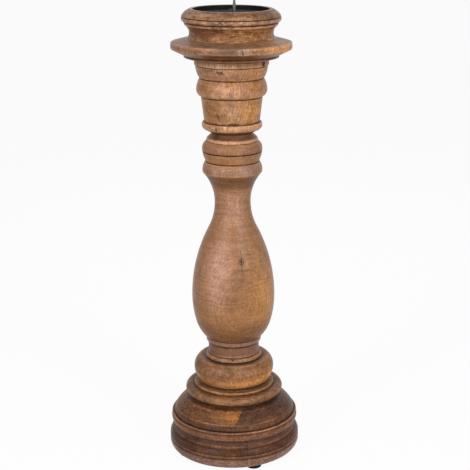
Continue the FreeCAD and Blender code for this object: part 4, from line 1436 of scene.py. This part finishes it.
def slotted_screw(name, radius, length, point, head, rim, crown, steel):
    """A round-head wood screw on the axis, head up, whose head seats at height 0."""
    screw = turned(
        name, 0, (0, length),
        [(radius, point), (radius, length - point), (head, 0), (head, rim), (0, crown, "crown")],
        steel, reach=steel_reach, cuts=screw_cuts, wobble=0.0,
    )
    sizes = {
        "Slot": (3 * head * MM, slot_width * MM, 2 * slot_depth * MM), "At": (0, 0, (rim + crown) * MM),
        "Sharp from": sharp_from, "Material": steel,
    }
    return made_plain(screw, cut_slot, sizes)


def set_of(name, piece, places, material):
    """One object made of a piece at each place, which is a matrix. The single piece goes."""
    shape = bmesh.new()
    for place in places:
        copy = piece.data.copy()
        copy.transform(place)
        shape.from_mesh(copy)
        bpy.data.meshes.remove(copy)
    for face in shape.faces:
        face.material_index = 0
    mesh = bpy.data.meshes.new(name)
    shape.to_mesh(mesh)
    shape.free()
    mesh.materials.append(material)
    bpy.data.objects.remove(piece)
    return in_scene(name, mesh)


blackened_light = (0.10, 0.095, 0.09)
blackened_dark = (0.03, 0.028, 0.027)
dark_steel = bright_steel("blackened_steel", blackened_light, blackened_dark, 0.4)
pan_screw = slotted_screw(
    "pan_screw", pan_screw_radius, pan_screw_length, pan_screw_point, pan_screw_head_radius,
    pan_screw_head_rim, pan_screw_head_crown, dark_steel,
)
pan_floor = (pan_seat + pan_gauge) * MM
pan_screw_turns = (math.radians(25), math.radians(-40))
pan_screw_places = [
    Matrix.Translation((0, side * pan_screw_distance * MM, pan_floor)) @ Matrix.Rotation(turn, 4, "Z")
    for side, turn in zip((-1, 1), pan_screw_turns)
]
pan_screws = set_of("pan_screws_slotted", pan_screw, pan_screw_places, dark_steel)
settle(pan_screws, "screw_steel", "pan_screws")

# Pricket: the spike, turned from steel rod. Its rivet shank goes through the pan, and a rivet head
# under the pan's floor holds it. The steel is left dark, with the marks of the turning tool.
spike_offset = 4.0
rivet_head_radius = 4.0
rivet_head_height = 1.6
rivet_radius = 2.0
spike_foot_radius = 2.5
spike_shank_radius = 2.1
spike_shank_height = 9.5
spike_point_height = 15.5
spike_tip_radius = 0.3
spike_cuts = 48
spike_light = (0.12, 0.116, 0.12)
spike_dark = (0.05, 0.047, 0.048)

spike_steel = bright_steel("dark_turned_steel", spike_light, spike_dark, 0.3)
spike = turned(
    "pricket_turned", pan_seat, (0, rivet_head_height),
    [
        (rivet_head_radius, 0),
        (rivet_head_radius, rivet_head_height),
        (rivet_radius, 0),
        (rivet_radius, pan_gauge),
        (spike_foot_radius, 0),
        (spike_shank_radius, spike_shank_height),
        (spike_tip_radius, spike_point_height),
        (0, 0),
    ],
    spike_steel, reach=steel_reach, cuts=spike_cuts, wobble=0.0,
)
spike.data.transform(Matrix.Translation((spike_offset * MM, 0, 0)))
settle(spike, "spike_steel", "pricket")

# Tie screw and washer: a long hexagon-head coach screw of zinc-plated steel, up the axis from a recess
# under the plinth, draws the base and the baluster together. Their CAD shapes are right.
zinc_light = (0.52, 0.50, 0.46)
zinc_dark = (0.26, 0.24, 0.22)
zinc = bright_steel("dull_zinc", zinc_light, zinc_dark, 0.4)
for node in ("tie_screw", "tie_washer"):
    dress(node, zinc)

# Feet: four round buttons moulded from black rubber, a little wider at the top, with soft edges. Each
# has a recess from below for its screw, which goes through a thin web into the plinth.
foot_radius = 10.5
foot_taper = 0.4
foot_height = 5.0
foot_web = 2.0
foot_recess = 4.2
foot_bore = 1.6
foot_cuts = 72
rubber = (0.012, 0.012, 0.012)
dusty_rubber = (0.03, 0.03, 0.03)

foot_rubber = dull_black("moulded_rubber", rubber, dusty_rubber, 0.6, 0.0)
foot_middles = []
for node in ("foot_front_right", "foot_front_left", "foot_back_left", "foot_back_right"):
    low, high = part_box(node)
    foot_middles.append(((low.x + high.x) / 2, (low.y + high.y) / 2))
    foot = turned(
        node + "_moulded", 0, (foot_recess, 0),
        [
            (foot_radius - foot_taper, 0),
            (foot_radius, foot_height),
            (foot_bore, 0),
            (foot_bore, -foot_web),
            (foot_recess, 0),
            (foot_recess, foot_web - foot_height),
        ],
        foot_rubber, cuts=foot_cuts, wobble=0.0,
    )
    foot.data.transform(Matrix.Translation((*foot_middles[-1], 0)))
    settle(foot, "foot_rubber", node)

# Foot screws: one round-head wood screw up through each foot's web into the plinth, its slotted head
# sunk in the foot, so that steel never touches the table. Zinc plated.
foot_screw_radius = 1.5
foot_screw_length = 16.0
foot_screw_point = 3.0
foot_screw_head_radius = 3.4
foot_screw_head_rim = 0.7
foot_screw_head_crown = 1.2

foot_screw = slotted_screw(
    "foot_screw", foot_screw_radius, foot_screw_length, foot_screw_point, foot_screw_head_radius,
    foot_screw_head_rim, foot_screw_head_crown, zinc,
)
head_down = Matrix.Rotation(math.pi, 4, "X")
foot_screw_places = [
    Matrix.Translation((*middle, (foot_height - foot_web) * MM)) @ head_down for middle in foot_middles
]
foot_screws = set_of("foot_screws_slotted", foot_screw, foot_screw_places, zinc)
settle(foot_screws, "screw_steel", "foot_screws")

# Floor: a wide sheet of pale studio paper under the stand. It glows white towards the camera, so that
# only the stand's soft shadow shows on it.
floor_reach = 14.0
floor_colour = (0.5, 0.5, 0.5, 1.0)
white = (1.0, 1.0, 1.0, 1.0)
glow_share = 0.9
glow_strength = 1.05


def seen_directly(tree):
    """A mask that is 1 for rays from the camera, and those it sees in gloss or through glass."""
    path = add(tree, "ShaderNodeLightPath").outputs
    seen = maths(tree, "ADD", path["Is Camera Ray"], path["Is Glossy Ray"], clamp=True)
    return maths(tree, "ADD", seen, path["Is Transmission Ray"], clamp=True)


floor_mesh = bpy.data.meshes.new("floor")
corners = [(-1, -1), (1, -1), (1, 1), (-1, 1)]
floor_mesh.from_pydata([(x * floor_reach, y * floor_reach, 0) for x, y in corners], [], [(0, 1, 2, 3)])
floor = in_scene("floor", floor_mesh)
floor_paint, tree = blank_material("floor_paint")
matt = add(tree, "ShaderNodeBsdfDiffuse", {"Color": floor_colour}).outputs[0]
glow = add(tree, "ShaderNodeEmission", {"Color": white, "Strength": glow_strength}).outputs[0]
share = maths(tree, "MULTIPLY", seen_directly(tree), glow_share)
mixed = add(tree, "ShaderNodeMixShader", {0: share, 1: matt, 2: glow}).outputs[0]
add(tree, "ShaderNodeOutputMaterial", {"Surface": mixed})
floor_mesh.materials.append(floor_paint)

# Light: a plain white room, a large soft box high on the left in front, a larger one on the right, and
# a weak one low behind the stand, which lights only its back and leaves no glint on its edges.
room_strength = 0.16
lamp_aim = (0, 0, 0.32)
back_beam = math.radians(50)

world = bpy.data.worlds.new("studio")
bpy.context.scene.world = world
world.use_nodes = True
tree = world.node_tree
tree.nodes.clear()
dim = add(tree, "ShaderNodeBackground", {"Color": white, "Strength": room_strength}).outputs[0]
plain = add(tree, "ShaderNodeBackground", {"Color": white, "Strength": 1.0}).outputs[0]
mixed = add(tree, "ShaderNodeMixShader", {0: seen_directly(tree), 1: dim, 2: plain}).outputs[0]
add(tree, "ShaderNodeOutputWorld", {"Surface": mixed})


def soft_box(name, place, aim, width, height, power, beam=math.pi, glossy=True):
    """A rectangular soft light, in metres and watts. Its beam is the angle that it lights.

    A light that isn't glossy lights the stand but shows in none of its reflections.
    """
    lamp = bpy.data.lights.new(name, "AREA")
    lamp.shape = "RECTANGLE"
    lamp.size = width
    lamp.size_y = height
    lamp.energy = power
    lamp.spread = beam
    holder = in_scene(name, lamp)
    holder.visible_glossy = glossy
    holder.location = place
    holder.rotation_euler = (Vector(aim) - Vector(place)).to_track_quat("-Z", "Y").to_euler()


soft_box("left_light", (-1.5, -1.8, 1.45), lamp_aim, 0.7, 1.2, 39)
soft_box("right_light", (1.35, -1.95, 1.3), lamp_aim, 0.9, 1.3, 46)
soft_box("back_light", (0.1, 2.3, 0.4), lamp_aim, 1.2, 0.4, 5, beam=back_beam, glossy=False)

# Camera: above the cup and a little left, as in the photograph. Distances are metres, angles radians,
# and the lens and the sideways shift are worked out for an image 470 pixels wide.
image_width = 470
sensor_width = 36.0
camera_distance = 1.5721
camera_height = 0.7619
camera_pitch = 0.2806
camera_yaw = 0.04459
camera_roll = -0.00451
focal_pixels = 1214.5
shift_pixels = -50

forward = Vector((
    math.sin(camera_yaw) * math.cos(camera_pitch),
    math.cos(camera_yaw) * math.cos(camera_pitch),
    -math.sin(camera_pitch),
))
level_right = Vector((math.cos(camera_yaw), -math.sin(camera_yaw), 0))
level_down = forward.cross(level_right)
right = math.cos(camera_roll) * level_right + math.sin(camera_roll) * level_down
down = math.cos(camera_roll) * level_down - math.sin(camera_roll) * level_right
lens = bpy.data.cameras.new("camera")
lens.sensor_width = sensor_width
lens.lens = focal_pixels * sensor_width / image_width
lens.shift_x = shift_pixels / image_width
camera = in_scene("camera", lens)
turn = Matrix((right, -down, -forward)).transposed()
camera.matrix_world = Matrix.Translation((0, -camera_distance, camera_height)) @ turn.to_4x4()
bpy.context.scene.camera = camera
bpy.context.scene.view_settings.view_transform = "Standard"
